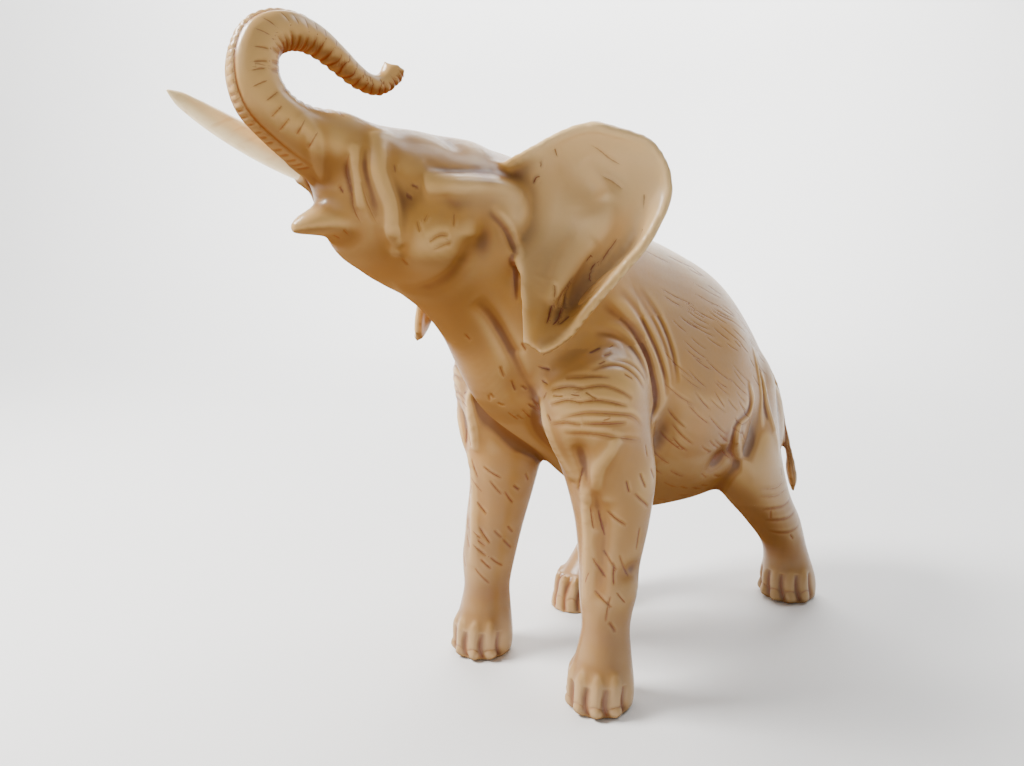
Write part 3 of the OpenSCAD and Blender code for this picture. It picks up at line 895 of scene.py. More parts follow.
def use_group(tree, which, **values):
    """A node group with its inputs set or linked."""
    node = tree.nodes.new("ShaderNodeGroup")
    node.node_tree = which
    for name, value in values.items():
        if isinstance(value, (int, float)):
            node.inputs[name].default_value = value
        else:
            tree.links.new(value, node.inputs[name])
    return node


def attribute(tree, name, output="Fac"):
    """A mark that the modelling left on the mesh."""
    node = tree.nodes.new("ShaderNodeAttribute")
    node.attribute_name = name
    return node.outputs[output]


def surface(name, roughness, coat, coat_roughness):
    """A material with its principled shader, and that shader."""
    material = bpy.data.materials.new(name)
    material.use_nodes = True
    shader = material.node_tree.nodes["Principled BSDF"]
    shader.inputs["Roughness"].default_value = roughness
    shader.inputs["Coat Weight"].default_value = coat
    shader.inputs["Coat Roughness"].default_value = coat_roughness
    return material, material.node_tree, shader


# Resin finish. Ramps are (from, to, level at from, level at to).
RESIN_ROUGHNESS, RESIN_COAT, RESIN_COAT_ROUGHNESS = 0.42, 0.15, 0.22
LINE_WIDTH, LINE_WOBBLE, LINE_WOBBLE_SCALE = 0.36, 0.9, 300
PATCHES = 0.6
WORN_RAMP, WORN = (-0.04, -0.5), 0.7
DEEP_RAMP, DEEP = (0.03, 0.55), 0.85
# Painted shade: faces turned downwards are darkened towards the patina brown.
UNDERSIDE_SHADE_RAMP = (0.0, -0.7, 0.0, 0.8)
# Painted shade: the legs darken towards the patina brown lower down, by height in metres.
FOOT_SHADE_RAMP = (0.24, 0.02, 0.0, 0.58)
GLOSS_RAMP = (-0.6, 0.15)
SPECULAR, COAT = 0.4, 0.2
PORE_ROUGHNESS = (0.3, 0.7, 0.28, 0.42)
LINE_ROUGHNESS = 0.15
PORE_HEIGHT, LINE_HEIGHT = 0.10, 0.8
BUMP_STRENGTH, BUMP_DISTANCE = 0.5, 0.0006


def third_of(tree, vector):
    """The third number of a vector."""
    parts = tree.nodes.new("ShaderNodeSeparateXYZ")
    tree.links.new(vector, parts.inputs[0])
    return parts.outputs[2]


def resin_material(settings, strokes, mottle):
    """Mottled tan resin: patina and painted shade in hollows, painted shade below and at the feet,
    stain in tooled strokes.
    """
    material, tree, shader = surface("tooled resin", RESIN_ROUGHNESS, RESIN_COAT,
                                     RESIN_COAT_ROUGHNESS)
    coords = placed(tree)
    spots = use_group(tree, mottle, Vector=coords)
    wobble = noise_node(tree, coords, LINE_WOBBLE_SCALE, 2)
    wobble = math_node(tree, "MULTIPLY", math_node(tree, "SUBTRACT", wobble, 0.5), LINE_WOBBLE)
    line = use_group(tree, strokes, Mark=attribute(tree, "mark", "Vector"),
                     Ink=attribute(tree, "ink"), Width=LINE_WIDTH, Wobble=wobble)
    shade = attribute(tree, "shade")
    geometry = tree.nodes.new("ShaderNodeNewGeometry")
    upward = third_of(tree, geometry.outputs["Normal"])
    patina_and_shade, stain = tuple(settings.patina_and_shade), tuple(settings.stain)

    body = mix(tree, math_node(tree, "MULTIPLY", spots.outputs["Patches"], PATCHES),
               tuple(settings.body), tuple(settings.dull))
    worn = math_node(tree, "MULTIPLY", ramp(tree, shade, *WORN_RAMP), WORN)
    body = mix(tree, worn, body, tuple(settings.light))
    # The hollows go towards the patina brown: partly patina, partly painted shade.
    deep = math_node(tree, "MULTIPLY", ramp(tree, shade, *DEEP_RAMP), DEEP)
    # Painted shade below and low down, then pale toes, painted light on the upper ears, then stain.
    for factor, colour in ((deep, patina_and_shade), (ramp(tree, upward, *UNDERSIDE_SHADE_RAMP), patina_and_shade),
                           (ramp(tree, third_of(tree, coords), *FOOT_SHADE_RAMP), patina_and_shade),
                           (attribute(tree, "pale"), tuple(settings.nail)),
                           (attribute(tree, "stain"), stain), (line.outputs["Mask"], stain)):
        body = mix(tree, factor, body, colour)
    tree.links.new(body, shader.inputs["Base Color"])

    gloss = ramp(tree, upward, *GLOSS_RAMP)
    for share, socket in ((SPECULAR, "Specular IOR Level"), (COAT, "Coat Weight")):
        tree.links.new(math_node(tree, "MULTIPLY", gloss, share), shader.inputs[socket])
    pores, cut = spots.outputs["Pores"], line.outputs["Cut"]
    rough = math_node(tree, "ADD", ramp(tree, pores, *PORE_ROUGHNESS),
                      math_node(tree, "MULTIPLY", cut, LINE_ROUGHNESS))
    tree.links.new(rough, shader.inputs["Roughness"])
    height = math_node(tree, "SUBTRACT", math_node(tree, "MULTIPLY", pores, PORE_HEIGHT),
                       math_node(tree, "MULTIPLY", cut, LINE_HEIGHT))
    bump = tree.nodes.new("ShaderNodeBump")
    bump.inputs["Strength"].default_value = BUMP_STRENGTH
    bump.inputs["Distance"].default_value = BUMP_DISTANCE
    tree.links.new(height, bump.inputs["Height"])
    tree.links.new(bump.outputs["Normal"], shader.inputs["Normal"])
    return material


def tusk_material(settings, mottle):
    """Cream resin with brown streaks along the tusk and stain at its root."""
    material, tree, shader = surface("tusk resin", 0.35, 0.4, 0.15)
    spots = use_group(tree, mottle, Vector=placed(tree))
    streak = noise_node(tree, placed(tree, (28, 0, -14), (0.004, 0.04, 0.004)), 1.0, 3)
    colour = mix(tree, math_node(tree, "MULTIPLY", spots.outputs["Patches"], 0.4),
                 tuple(settings.tusk), tuple(c * 0.8 for c in settings.tusk))
    colour = mix(tree, ramp(tree, streak, 0.45, 0.75, 0, 0.5), colour,
                 (settings.tusk[0] * 0.75, settings.tusk[1] * 0.6, settings.tusk[2] * 0.4))
    colour = mix(tree, attribute(tree, "stain"), colour, tuple(settings.stain))
    tree.links.new(colour, shader.inputs["Base Color"])
    tree.links.new(ramp(tree, spots.outputs["Pores"], *PORE_ROUGHNESS),
                   shader.inputs["Roughness"])
    return material


def steel_material(settings, mottle):
    """Plain drawn steel, slightly uneven."""
    material, tree, shader = surface("dowel steel", 0.3, 0.0, 0.1)
    shader.inputs["Metallic"].default_value = 1.0
    spots = use_group(tree, mottle, Vector=placed(tree))
    tree.links.new(mix(tree, spots.outputs["Patches"], tuple(settings.steel),
                       tuple(c * 0.8 for c in settings.steel)), shader.inputs["Base Color"])
    tree.links.new(ramp(tree, spots.outputs["Pores"], 0.3, 0.7, 0.22, 0.45),
                   shader.inputs["Roughness"])
    return material


def material(name):
    """A finish that has been made."""
    return bpy.data.materials[name]


def fit_out(piece, node, finish):
    """Puts a piece in place of its node, with its finish."""
    piece.data.materials.clear()
    piece.data.materials.append(finish)
    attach(piece, "root")
    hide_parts(node)


# ---------------------------------------------------------------- operators

class ELEPHANT_OT_finishes(bpy.types.Operator):
    """Makes the resin, tusk and steel finishes"""
    bl_idname = "elephant.finishes"
    bl_label = "Finishes"

    def execute(self, context):
        settings = context.scene.elephant_finish
        strokes, mottle = strokes_group(), mottle_group()
        resin_material(settings, strokes, mottle)
        tusk_material(settings, mottle)
        steel_material(settings, mottle)
        return {"FINISHED"}


class ELEPHANT_OT_rough(bpy.types.Operator):
    """Models the whole animal roughly, as one skin"""
    bl_idname = "elephant.rough"
    bl_label = "Rough figure"

    def execute(self, context):
        settings = context.scene.elephant_casting
        bm = bmesh.new()
        loft(bm, SPINE)
        loft(bm, LIP)
        loft(bm, TAIL, sides=24)
        for stations in LEGS.values():
            loft(bm, stations)
        for centre, radii in THIGHS:
            ball(bm, centre, radii)
        for name in LEGS:
            toes(bm, name)
        loft(bm, [(*(TUSK_ROOT - TUSK_WAY * back), TUSK_PITCH, r, r, r)
                  for back, r in TUSK_SHEATH], sides=32)
        for centre in EAR_ROOTS:
            ball(bm, centre, EAR_ROOT_RADII)
        ear(bm, settings.ear_thickness, settings.rim)
        to_right(bm, ear(bm, settings.ear_thickness, settings.rim))
        bmesh.ops.recalc_face_normals(bm, faces=bm.faces)
        rough = new_object("rough", bm)
        remeshed(rough, settings.grain)
        if not len(rough.data.polygons):
            raise RuntimeError("the rough figure came out empty")
        return {"FINISHED"}


TOE_INSET, TOE_LEVEL, TOE_RADII = 0.86, 17, (5.5, 5.5, 14)
NAIL_OUT, NAIL_LEVEL, NAIL_RADII = 1.5, 5.5, (5.8, 5.8, 5.4)


def toes(bm, name):
    """A long egg for each toe of a foot, and a small one for its nail."""
    s, turns = toe_spots(name)
    for turn in turns:
        a = math.radians(turn)
        x, y = math.cos(a), -math.sin(a)
        spot = (s[0] + TOE_INSET * s[4] * x, s[1] + TOE_INSET * s[5] * y)
        ball(bm, (*spot, TOE_LEVEL), TOE_RADII)
        ball(bm, (spot[0] + NAIL_OUT * x, spot[1] + NAIL_OUT * y, NAIL_LEVEL), NAIL_RADII)


class ELEPHANT_OT_forms(bpy.types.Operator):
    """Blends the limbs in and models the muscles, then makes the skin finer where it is tooled"""
    bl_idname = "elephant.forms"
    bl_label = "Forms"

    def execute(self, context):
        mesh = bpy.data.objects["rough"].data
        clay = Clay(mesh)
        blend = sum(clay.near(c, r) for c, r in BLENDS)
        clay.relax(EVEN_ROUNDS)
        clay.relax(BLEND_ROUNDS, np.clip(blend * 1.5, 0, 1))
        clay.refresh()
        part = mesh.attributes.new("part", "INT", "FACE")
        labels = part_labels(mesh)
        part.data.foreach_set("value", labels.astype(np.int32))
        bm = bmesh.new()
        bm.from_mesh(mesh)
        layer = bm.faces.layers.int["part"]
        fine = set()
        for f in bm.faces:
            if tooled(PARTS[f[layer]], f.calc_center_median() / MM):
                fine.update(f.edges)
        bmesh.ops.subdivide_edges(bm, edges=list(fine), cuts=1, use_grid_fill=True)
        bm.to_mesh(mesh)
        bm.free()
        clay = Clay(mesh)
        clay.relax(EVEN_ROUNDS)
        clay.refresh()
        for centre, radii, height in SWELLS:
            clay.swell(centre, radii, height)
            clay.swell(mirrored([centre])[0], radii, height)
        clay.refresh()
        for points, width, depth, lip, stain in FOLDS:
            clay.carve(points, width, depth, lip, stain)
            if abs(points[0][0] - SHIFT[0]) > 1:
                clay.carve(mirrored(points)[::-1], width, depth, lip, stain)
        for spots, width, depth in EAR_FOLDS:
            left = [ear_point(EAR_RUN[round(row * EAR_FINE)], u) for row, u in spots]
            clay.carve([p + SHIFT for p in left], width, depth)
            clay.carve([on_right_ear(p) + SHIFT for p in left], width, depth)
        clay.relax(SETTLE_ROUNDS)
        clay.save()
        return {"FINISHED"}


def tooled(part, p):
    """True where the skin needs the finer mesh."""
    if part != "torso":
        return True
    flank = (abs(p.x - SHIFT[0]) > FLANK_OUT and FLANK_LOW < p.z < FLANK_HIGH
             and p.y < FLANK_BACK)
    return flank or p.y < CHEST_FRONT


class ELEPHANT_OT_marks(bpy.types.Operator):
    """Cuts the wrinkles, the rings of the trunk, the toes' furrows and the tooled strokes"""
    bl_idname = "elephant.marks"
    bl_label = "Wrinkles and strokes"

    def execute(self, context):
        clay = Clay(bpy.data.objects["rough"].data)
        rng = random.Random(SEED)
        for points, depth, stain in WRINKLES:
            for side in (points, mirrored(points)[::-1]):
                clay.carve(side, WRINKLE_WIDTH, depth * 0.5, depth * 0.2, stain * 0.5,
                           stain * 1.1)
        trunk_rings(clay, rng)
        tail_hair(clay)
        toe_furrows(clay)
        ear_strokes(clay)
        body_strokes(clay, rng)
        for centre, radius, strength in BLOTS:
            for c in (centre, mirrored([centre])[0]):
                spot = clay.near(c, radius) * strength
                clay.marks["stain"] = np.maximum(clay.marks["stain"], spot)
        clay.refresh()
        shade_skin(clay)
        clay.save()
        return {"FINISHED"}


FINE_SHADE, BROAD_SHADE, EAR_UNSHADE, EAR_PAINTED_LIGHT = 1.0, 0.7, 0.6, 0.8


def shade_skin(clay):
    """Marks the hollows and the ridges, more softly on the ears, and paints light on their upper
    part.
    """
    fine, broad = clay.hollows()
    out = np.clip((np.abs(clay.co[:, 0] / MM - SHIFT[0]) - EAR_OUT) / EAR_OVER, 0, 1)
    ears = out * (clay.co[:, 2] > EAR_LOW * MM) * (clay.co[:, 1] < 0)
    shade = (fine * FINE_SHADE + broad * BROAD_SHADE) * (1 - EAR_UNSHADE * ears)
    clay.marks["shade"] = np.clip(shade, -1, 1)
    # Painted light: the upper part of each ear is paled towards the nail colour.
    high = np.clip((clay.co[:, 2] / MM - EAR_PAINTED_LIGHT_FROM) / EAR_PAINTED_LIGHT_OVER, 0, 1)
    clay.marks["pale"] = np.maximum(clay.marks["pale"], ears * high * EAR_PAINTED_LIGHT)


def trunk_rings(clay, rng):
    """Rings over the trunk, short marks on its sides, its two under grooves and its nostrils."""
    place = TRUNK_FIRST
    last = len(SPINE) - 1.25
    while place < last:
        far = (place - TRUNK_FIRST) / (last - TRUNK_FIRST)
        reach = 50 + 50 * far + rng.uniform(-14, 14)
        turns = [90 + reach * k / 4 for k in range(-4, 5)]
        wave = rng.uniform(-0.06, 0.06)
        points = [skin_point(SPINE, place + wave * math.sin(math.radians(3 * t)), t)
                  for t in turns]
        clay.carve(points, 1.2 - 0.3 * far, 0.75 - 0.2 * far, 0.2, 0.25 + 0.35 * far,
                   0.3 + 0.5 * far)
        place += (0.42 - 0.12 * far) * rng.uniform(0.85, 1.15)
    place = TRUNK_FIRST + 0.5
    while place < SIDE_LAST:
        start = rng.uniform(-45, -20)
        turns = [start + 11 * k for k in range(4)]
        for side in (turns, [180 - t for t in turns]):
            points = [skin_point(SPINE, place + 0.03 * k, t) for k, t in enumerate(side)]
            clay.carve(points, 0.9, 0.25, 0, 0.05, 0.5)
        place += rng.uniform(0.3, 0.7)
    for turn in (-66, -114):
        run = [skin_point(SPINE, TRUNK_FIRST + k * 0.5, turn) for k in range(18)]
        clay.carve(run, 1.4, 0.8, 0.3, 0.25, 0.5)
    place = TRUNK_FIRST
    while place < UNDER_LAST:
        points = [skin_point(SPINE, place, t) for t in (-72, -82, -90, -98, -108)]
        clay.carve(points, 1.0, 0.5, 0, 0.12, 0.3)
        place += 0.25 * rng.uniform(0.8, 1.3)
    tip = np.array(skin_point(SPINE, len(SPINE) - 1.001, 90))
    tip = (tip + skin_point(SPINE, len(SPINE) - 1.001, -90)) / 2
    for side in (-2.4, 2.4):
        clay.swell(tip + (side, 0, 0), (1.8, 2.4, 2.4), -2.0)
        dark = clay.near(tip + (side, 0, 0), 3) * 0.8
        clay.marks["stain"] = np.maximum(clay.marks["stain"], dark)


def tail_hair(clay):
    """Grooves of hair along the tail."""
    for turn in range(0, 360, 40):
        run = [skin_point(TAIL, 1.5 + 0.45 * k, turn) for k in range(12)]
        clay.carve(run, 1.0, 0.7, 0, 0.35, 0.4)


def toe_spots(name):
    """The station above a foot's sole, and the turns round it at which its toes stand."""
    s = LEGS[name][-2]
    outer = 1 if s[0] > 0 else -1
    return s, [90 - outer * a for a in TOE_TURNS]


FOOT_REACH, FOOT_TOP, FOOT_OVER, FOOT_PALE = 42, 42, 26, 0.22


def toe_furrows(clay):
    """Furrows between the toes, an arch over each nail, and paler toes."""
    for name in LEGS:
        s, turns = toe_spots(name)
        count = len(LEGS[name])
        turns = sorted(turns)
        for edge in [turns[0] - HALF_TOE] + [turn + HALF_TOE for turn in turns]:
            run = [skin_point(LEGS[name], count - 2.35 + 0.27 * k, edge + 3 * math.sin(k))
                   for k in range(6)]
            clay.carve(run, 2.4, 1.9, 0, 0.5, 0.4)
        for turn in turns:
            nail = [skin_point(LEGS[name], count - 1.6 - 0.16 * math.cos(math.radians(6 * k)),
                               turn + k) for k in (-13, -7, 0, 7, 13)]
            clay.carve(nail, 1.0, 0.5, 0, 0.22, 0.12)
        foot = clay.near(np.array(s[:3]) + SHIFT + (0, -8, -2), FOOT_REACH)
        low = np.clip((FOOT_TOP - clay.co[:, 2] / MM) / FOOT_OVER, 0, 1)
        pale = np.clip(foot * 3, 0, 1) * low * FOOT_PALE
        clay.marks["pale"] = np.maximum(clay.marks["pale"], pale)


# Strokes inside an ear: first and last place as (row, share across), and ink.
EAR_STROKES = [
    ((1.0, 0.88), (1.6, 0.90), 0.7), ((1.5, 0.95), (2.4, 0.95), 0.9), ((2.2, 0.90), (3.0, 0.90), 0.8),
    ((2.8, 0.96), (3.6, 0.95), 0.8), ((1.8, 0.84), (2.4, 0.86), 0.5), ((3.2, 0.84), (3.8, 0.84), 0.6),
    ((2.6, 0.56), (3.0, 0.62), 0.9), ((3.0, 0.44), (3.6, 0.46), 0.9), ((3.1, 0.50), (3.7, 0.52), 0.7),
    ((2.9, 0.38), (3.4, 0.38), 0.5), ((3.6, 0.66), (4.0, 0.66), 0.7), ((3.0, 0.72), (3.5, 0.70), 0.6),
    ((4.0, 0.34), (4.6, 0.34), 0.5), ((4.0, 0.44), (4.7, 0.44), 0.4), ((4.2, 0.54), (4.8, 0.54), 0.4),
    ((4.8, 0.36), (5.6, 0.36), 1.0), ((4.8, 0.50), (5.5, 0.50), 1.0), ((5.0, 0.64), (5.6, 0.62), 0.7),
    ((0.4, 0.38), (0.8, 0.38), 0.6), ((0.6, 0.24), (0.9, 0.22), 0.6), ((1.2, 0.20), (1.4, 0.14), 0.8),
    ((0.9, 0.62), (1.4, 0.74), 0.4), ((1.6, 0.60), (2.0, 0.70), 0.4), ((2.2, 0.50), (2.4, 0.60), 0.4),
]


def ear_strokes(clay):
    """Tooled strokes in both ears."""
    for right in (False, True):
        for (r0, u0), (r1, u1), ink in EAR_STROKES:
            steps = [(r0 + (r1 - r0) * t, u0 + (u1 - u0) * t) for t in (0, 0.5, 1)]
            points = [ear_point(EAR_RUN[int(round(r * EAR_FINE))], u) for r, u in steps]
            points = [(on_right_ear(p) if right else p) + SHIFT for p in points]
            clay.carve(points, 1.1, 0.55, 0.2, 0.15, ink)


def flank_way(p):
    """The way that strokes run over the flank: steeper lower down."""
    level = min(max((300 - p[2]) / 120, 0), 1)
    return (0, 0.9 - 0.05 * level, -0.42 - 0.16 * level)


# Strokes scattered on the left side: count, corners of a box, way, length, curve, depth, ink, way
# they face, spread. Both sides have them, in the same order.
SIDE_STROKES = [
    (110, (20, 26, 150), (100, 125, 300), flank_way, (16, 40), 0.03, 0.22, 0.62, (1, 0, 0.3), 0.07),
    (40, (20, 100, 200), (100, 185, 290), (0, 0.7, -0.6), (10, 24), 0.03, 0.22, 0.5,
     (1, 0.3, 0.3), 0.07),
    (26, (20, 20, 118), (100, 110, 165), (0, 0.9, -0.5), (12, 26), 0.02, 0.2, 0.5,
     (1, 0, -0.2), 0.07),
    (26, (20, -75, 196), (100, -30, 246), (0, 0.9, -0.1), (4, 9), 0.02, 0.4, 0.7,
     (1, -0.5, 0), 0.3),
    (26, (20, -70, 60), (100, -8, 185), (0, 0.30, -0.95), (8, 20), 0.02, 0.5, 0.9,
     (1, -0.4, 0), 0.3),
    (14, (20, 150, 60), (100, 235, 150), (0, 0.5, -0.8), (6, 11), 0.02, 0.4, 0.5,
     (1, 0, 0), 0.3),
]
# How far in the boxes of the right side reach.
RIGHT_SIDE = (-110, -34)
# Strokes on the right foreleg, the chest and the face.
FRONT_STROKES = [
    (44, (-90, -80, 60), (-20, 5, 150), (0.5, 0.5, -0.75), (7, 17), 0.02, 0.5, 0.8,
     (0.4, -0.8, 0), 0.15),
    (16, (-40, -110, 170), (30, -50, 260), (0.3, 0.4, -0.8), (4, 9), 0.02, 0.4, 0.6,
     (0, -0.8, 0), 0.3),
    (14, (-50, -190, 280), (40, -100, 345), (0.1, 0.3, -0.8), (3, 7), 0.02, 0.3, 0.5, None, 0.4),
]


def body_strokes(clay, rng):
    """Tooled strokes over the flanks, shoulders, legs, chest and face."""
    for row in SIDE_STROKES:
        clay.scatter(rng, *row)
    for count, low, high, way, length, curve, depth, ink, facing, spread in SIDE_STROKES:
        clay.scatter(rng, count, (RIGHT_SIDE[0], *low[1:]), (RIGHT_SIDE[1], *high[1:]), way, length,
                     curve, depth, ink, (-facing[0], *facing[1:]), spread)
    for row in FRONT_STROKES:
        clay.scatter(rng, *row)


def cast_piece(name):
    """Takes one piece out of the figure along its seams and closes it, keeping its shading."""
    rough = bpy.data.objects["rough"]
    mesh = rough.data
    if "way" not in mesh.attributes:
        way = np.empty(len(mesh.vertices) * 3, np.float32)
        mesh.vertex_normals.foreach_get("vector", way)
        mesh.attributes.new("way", "FLOAT_VECTOR", "POINT").data.foreach_set("vector", way)
    bm = bmesh.new()
    bm.from_mesh(mesh)
    layer = bm.faces.layers.int["part"]
    others = [f for f in bm.faces if f[layer] != PARTS.index(name)]
    bmesh.ops.delete(bm, geom=others, context="FACES")
    if not bm.faces:
        raise RuntimeError("nothing of the figure is the " + name)
    outward = bm.verts.layers.float_vector["way"]
    seam = bmesh.ops.extrude_edge_only(bm, edges=[e for e in bm.edges if e.is_boundary])["geom"]
    for v in seam:
        if isinstance(v, bmesh.types.BMVert):
            v.co -= v[outward] * SEAM_LIP
    bmesh.ops.holes_fill(bm, edges=[e for e in bm.edges if e.is_boundary], sides=0)
    for f in bm.faces:
        f.smooth = True
    piece = new_object(name + "_cast", bm)
    data = piece.data
    normals = np.empty(len(data.vertices) * 3, np.float32)
    data.attributes["way"].data.foreach_get("vector", normals)
    data.normals_split_custom_set_from_vertices(normals.reshape(-1, 3).tolist())
    data.attributes.remove(data.attributes["way"])
    data.attributes.remove(data.attributes["part"])
    fit_out(piece, name, material("tooled resin"))
    if all(part + "_cast" in bpy.data.objects for part in PARTS):
        bpy.data.objects.remove(rough)


class ELEPHANT_OT_torso(bpy.types.Operator):
    """Parts the torso from the figure"""
    bl_idname = "elephant.torso"
    bl_label = "Torso"

    def execute(self, context):
        cast_piece("torso")
        return {"FINISHED"}


class ELEPHANT_OT_head(bpy.types.Operator):
    """Parts the head from the figure"""
    bl_idname = "elephant.head"
    bl_label = "Head"

    def execute(self, context):
        cast_piece("head")
        return {"FINISHED"}


class ELEPHANT_OT_trunk(bpy.types.Operator):
    """Parts the trunk from the figure"""
    bl_idname = "elephant.trunk"
    bl_label = "Trunk"

    def execute(self, context):
        cast_piece("trunk")
        return {"FINISHED"}


class ELEPHANT_OT_ears(bpy.types.Operator):
    """Parts both ears from the figure"""
    bl_idname = "elephant.ears"
    bl_label = "Ears"

    def execute(self, context):
        for name in ("left_ear", "right_ear"):
            cast_piece(name)
        return {"FINISHED"}


class ELEPHANT_OT_tail(bpy.types.Operator):
    """Parts the tail from the figure"""
    bl_idname = "elephant.tail"
    bl_label = "Tail"

    def execute(self, context):
        cast_piece("tail")
        return {"FINISHED"}


class ELEPHANT_OT_legs(bpy.types.Operator):
    """Parts the four legs from the figure"""
    bl_idname = "elephant.legs"
    bl_label = "Legs"

    def execute(self, context):
        for name in LEGS:
            cast_piece(name)
        return {"FINISHED"}


def part_labels(mesh):
    """The part that each face belongs to, by the nearest piece of the frame, with a clean seam."""
    points, faces, owner = [], [], []
    for i, name in enumerate(PARTS):
        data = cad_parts[name].data
        base = len(points)
        points += [v.co.copy() for v in data.vertices]
        for p in data.polygons:
            faces.append([base + v for v in p.vertices])
            owner.append(i)
    tree = BVHTree.FromPolygons(points, faces)
    labels = np.array([owner[tree.find_nearest(p.center)[2]] for p in mesh.polygons])
    count = len(labels)
    loops = np.empty(len(mesh.loops), int)
    mesh.loops.foreach_get("edge_index", loops)
    owner_face = np.repeat(np.arange(count), [p.loop_total for p in mesh.polygons])
    order = np.argsort(loops, kind="stable")
    pair = owner_face[order][: len(order) // 2 * 2].reshape(-1, 2)
    for _ in range(SEAM_ROUNDS):
        votes = np.zeros((count, len(PARTS)))
        votes[np.arange(count), labels] += OWN_VOTE
        for side in (0, 1):
            for k in range(len(PARTS)):
                votes[:, k] += np.bincount(pair[:, side], labels[pair[:, 1 - side]] == k, count)
        labels = votes.argmax(1)
    return labels


# The start of the tusk, behind its root: how far back, and radius, in millimetres.
TUSK_PEG = (3, 7.5)
# Stain at the tusk's root, and how far it reaches, in metres.
ROOT_STAIN, STAIN_REACH = 0.8, 0.009


class ELEPHANT_OT_tusk(bpy.types.Operator):
    """Models the right tusk"""
    bl_idname = "elephant.tusk"
    bl_label = "Tusk"

    def execute(self, context):
        bm = bmesh.new()
        stations = []
        for i in range(TUSK_RINGS + 1):
            t = i / TUSK_RINGS
            r = TUSK_RADIUS * math.sqrt(1 - t * t) + TUSK_TIP
            p = TUSK_ROOT + TUSK_WAY * TUSK_LENGTH * t
            p = p - np.array([0, 0, TUSK_SAG * t * (1 - t)])
            stations.append((*p, TUSK_PITCH, r, r, r))
        stations.insert(0, (*(TUSK_ROOT - TUSK_WAY * TUSK_PEG[0]), TUSK_PITCH, *[TUSK_PEG[1]] * 3))
        loft(bm, stations, steps=3, sides=48)
        bmesh.ops.recalc_face_normals(bm, faces=bm.faces)
        for f in bm.faces:
            f.smooth = True
        tusk = new_object("right_tusk_cast", bm)
        root = Vector((TUSK_ROOT + SHIFT) * MM)
        marks = tusk.data.attributes.new("stain", "FLOAT", "POINT")
        for v in tusk.data.vertices:
            marks.data[v.index].value = max(0, ROOT_STAIN - (v.co - root).length / STAIN_REACH)
        fit_out(tusk, "right_tusk", material("tusk resin"))
        return {"FINISHED"}


class ELEPHANT_OT_fixings(bpy.types.Operator):
    """Gives the dowels, pins and wire their steel"""
    bl_idname = "elephant.fixings"
    bl_label = "Fixings"

    def execute(self, context):
        for name in FIXINGS:
            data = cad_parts[name].data
            data.materials.clear()
            data.materials.append(material("dowel steel"))
        return {"FINISHED"}


class ELEPHANT_OT_stage(bpy.types.Operator):
    """Makes the floor, the lights and the camera"""
    bl_idname = "elephant.stage"
    bl_label = "Stage"

    def execute(self, context):
        scene = context.scene
        bm = bmesh.new()
        bmesh.ops.create_grid(bm, x_segments=1, y_segments=1, size=FLOOR_SIZE)
        edges = [e for e in bm.edges if all(v.co.y > 2 for v in e.verts)
                 or all(v.co.x < -2 for v in e.verts)]
        made = bmesh.ops.extrude_edge_only(bm, edges=edges)["geom"]
        bmesh.ops.translate(bm, vec=(0, 0, BACKDROP),
                            verts=[g for g in made if isinstance(g, bmesh.types.BMVert)])
        corners = [e for e in bm.edges if len(e.link_faces) == 2]
        bmesh.ops.bevel(bm, geom=corners, offset=COVE, offset_type="OFFSET", segments=16,
                        profile=0.5, affect="EDGES", material=-1)
        for f in bm.faces:
            f.smooth = True
        floor = new_object("floor", bm)
        paint, tree, shader = surface("floor paint", 0.7, 0.0, 0.1)
        tone = noise_node(tree, placed(tree), 3, 2)
        colour = tuple(scene.elephant_finish.floor)
        tree.links.new(mix(tree, tone, colour, tuple(c * 0.97 for c in colour)),
                       shader.inputs["Base Color"])
        floor.data.materials.append(paint)
        world = bpy.data.worlds.new("studio")
        world.use_nodes = True
        background = world.node_tree.nodes["Background"]
        background.inputs["Color"].default_value = WORLD_COLOUR
        background.inputs["Strength"].default_value = WORLD_STRENGTH
        scene.world = world
        for name, place, aim, size, power, colour in LIGHTS:
            lamp = bpy.data.lights.new(name, "AREA")
            lamp.shape = "RECTANGLE"
            lamp.size, lamp.size_y = size
            lamp.energy = power
            lamp.color = colour
            holder = bpy.data.objects.new(name, lamp)
            holder.location = place
            way = Vector(aim) - Vector(place)
            holder.rotation_euler = way.to_track_quat("-Z", "Y").to_euler()
            scene.collection.objects.link(holder)
        lens = bpy.data.cameras.new("camera")
        lens.lens = LENS
        lens.sensor_width = SENSOR
        camera = bpy.data.objects.new("camera", lens)
        camera.location = CAMERA_PLACE
        camera.rotation_euler = (math.radians(90 - CAMERA_DOWN), 0, math.radians(CAMERA_TURN))
        scene.collection.objects.link(camera)
        scene.camera = camera
        return {"FINISHED"}


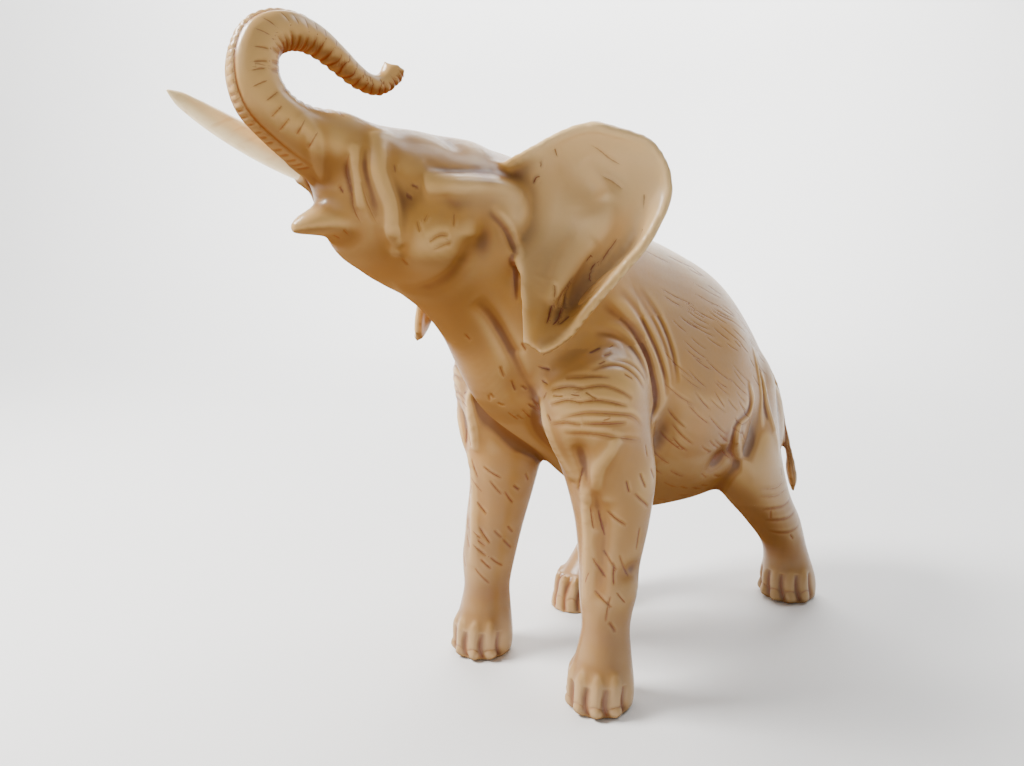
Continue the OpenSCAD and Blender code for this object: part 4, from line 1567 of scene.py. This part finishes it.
# Each light: name, place, what it faces, size, watts and colour.
LIGHTS = [
    ("window", (-0.75, -0.85, 1.35), (0, 0, 0.22), (0.6, 0.6), 64, (1, 0.985, 0.96)),
    ("high window", (0.4, 0.9, 1.6), (0, 0, 0.25), (0.6, 0.9), 11, (0.97, 0.98, 1)),
    ("room", (0.15, -1.5, 1.0), (0.03, -0.05, 0.3), (1.2, 0.9), 5, (1, 0.98, 0.96)),
    ("wall lamp", (-1.4, 1.4, 2.6), (-2.6, 2.6, 0.6), (2.0, 2.0), 210, (1, 1, 1)),
]


class ELEPHANT_PT_panel(bpy.types.Panel):
    """Lists the steps of the elephant"""
    bl_label = "Elephant"
    bl_idname = "ELEPHANT_PT_panel"
    bl_space_type = "VIEW_3D"
    bl_region_type = "UI"
    bl_category = "Elephant"

    def draw(self, context):
        for owner in (context.scene.elephant_casting, context.scene.elephant_finish):
            box = self.layout.box()
            for name in owner.bl_rna.properties.keys():
                if name not in ("rna_type", "name"):
                    box.prop(owner, name)
        for step in STEPS:
            self.layout.operator(step.bl_idname)


STEPS = [ELEPHANT_OT_finishes, ELEPHANT_OT_rough, ELEPHANT_OT_forms, ELEPHANT_OT_marks,
         ELEPHANT_OT_torso, ELEPHANT_OT_head, ELEPHANT_OT_trunk, ELEPHANT_OT_ears,
         ELEPHANT_OT_tail, ELEPHANT_OT_legs, ELEPHANT_OT_tusk, ELEPHANT_OT_fixings, ELEPHANT_OT_stage]
SETTINGS = [CastingSettings, FinishSettings]


def register():
    for item in SETTINGS + STEPS + [ELEPHANT_PT_panel]:
        bpy.utils.register_class(item)
    bpy.types.Scene.elephant_casting = bpy.props.PointerProperty(type=CastingSettings)
    bpy.types.Scene.elephant_finish = bpy.props.PointerProperty(type=FinishSettings)


def unregister():
    del bpy.types.Scene.elephant_finish
    del bpy.types.Scene.elephant_casting
    for item in reversed(SETTINGS + STEPS + [ELEPHANT_PT_panel]):
        bpy.utils.unregister_class(item)


def main():
    register()
    bpy.ops.elephant.finishes()
    bpy.ops.elephant.rough()
    bpy.ops.elephant.forms()
    bpy.ops.elephant.marks()
    bpy.ops.elephant.torso()
    bpy.ops.elephant.head()
    bpy.ops.elephant.trunk()
    bpy.ops.elephant.ears()
    bpy.ops.elephant.tail()
    bpy.ops.elephant.legs()
    bpy.ops.elephant.tusk()
    bpy.ops.elephant.fixings()
    bpy.ops.elephant.stage()


if __name__ == "__main__":
    main()
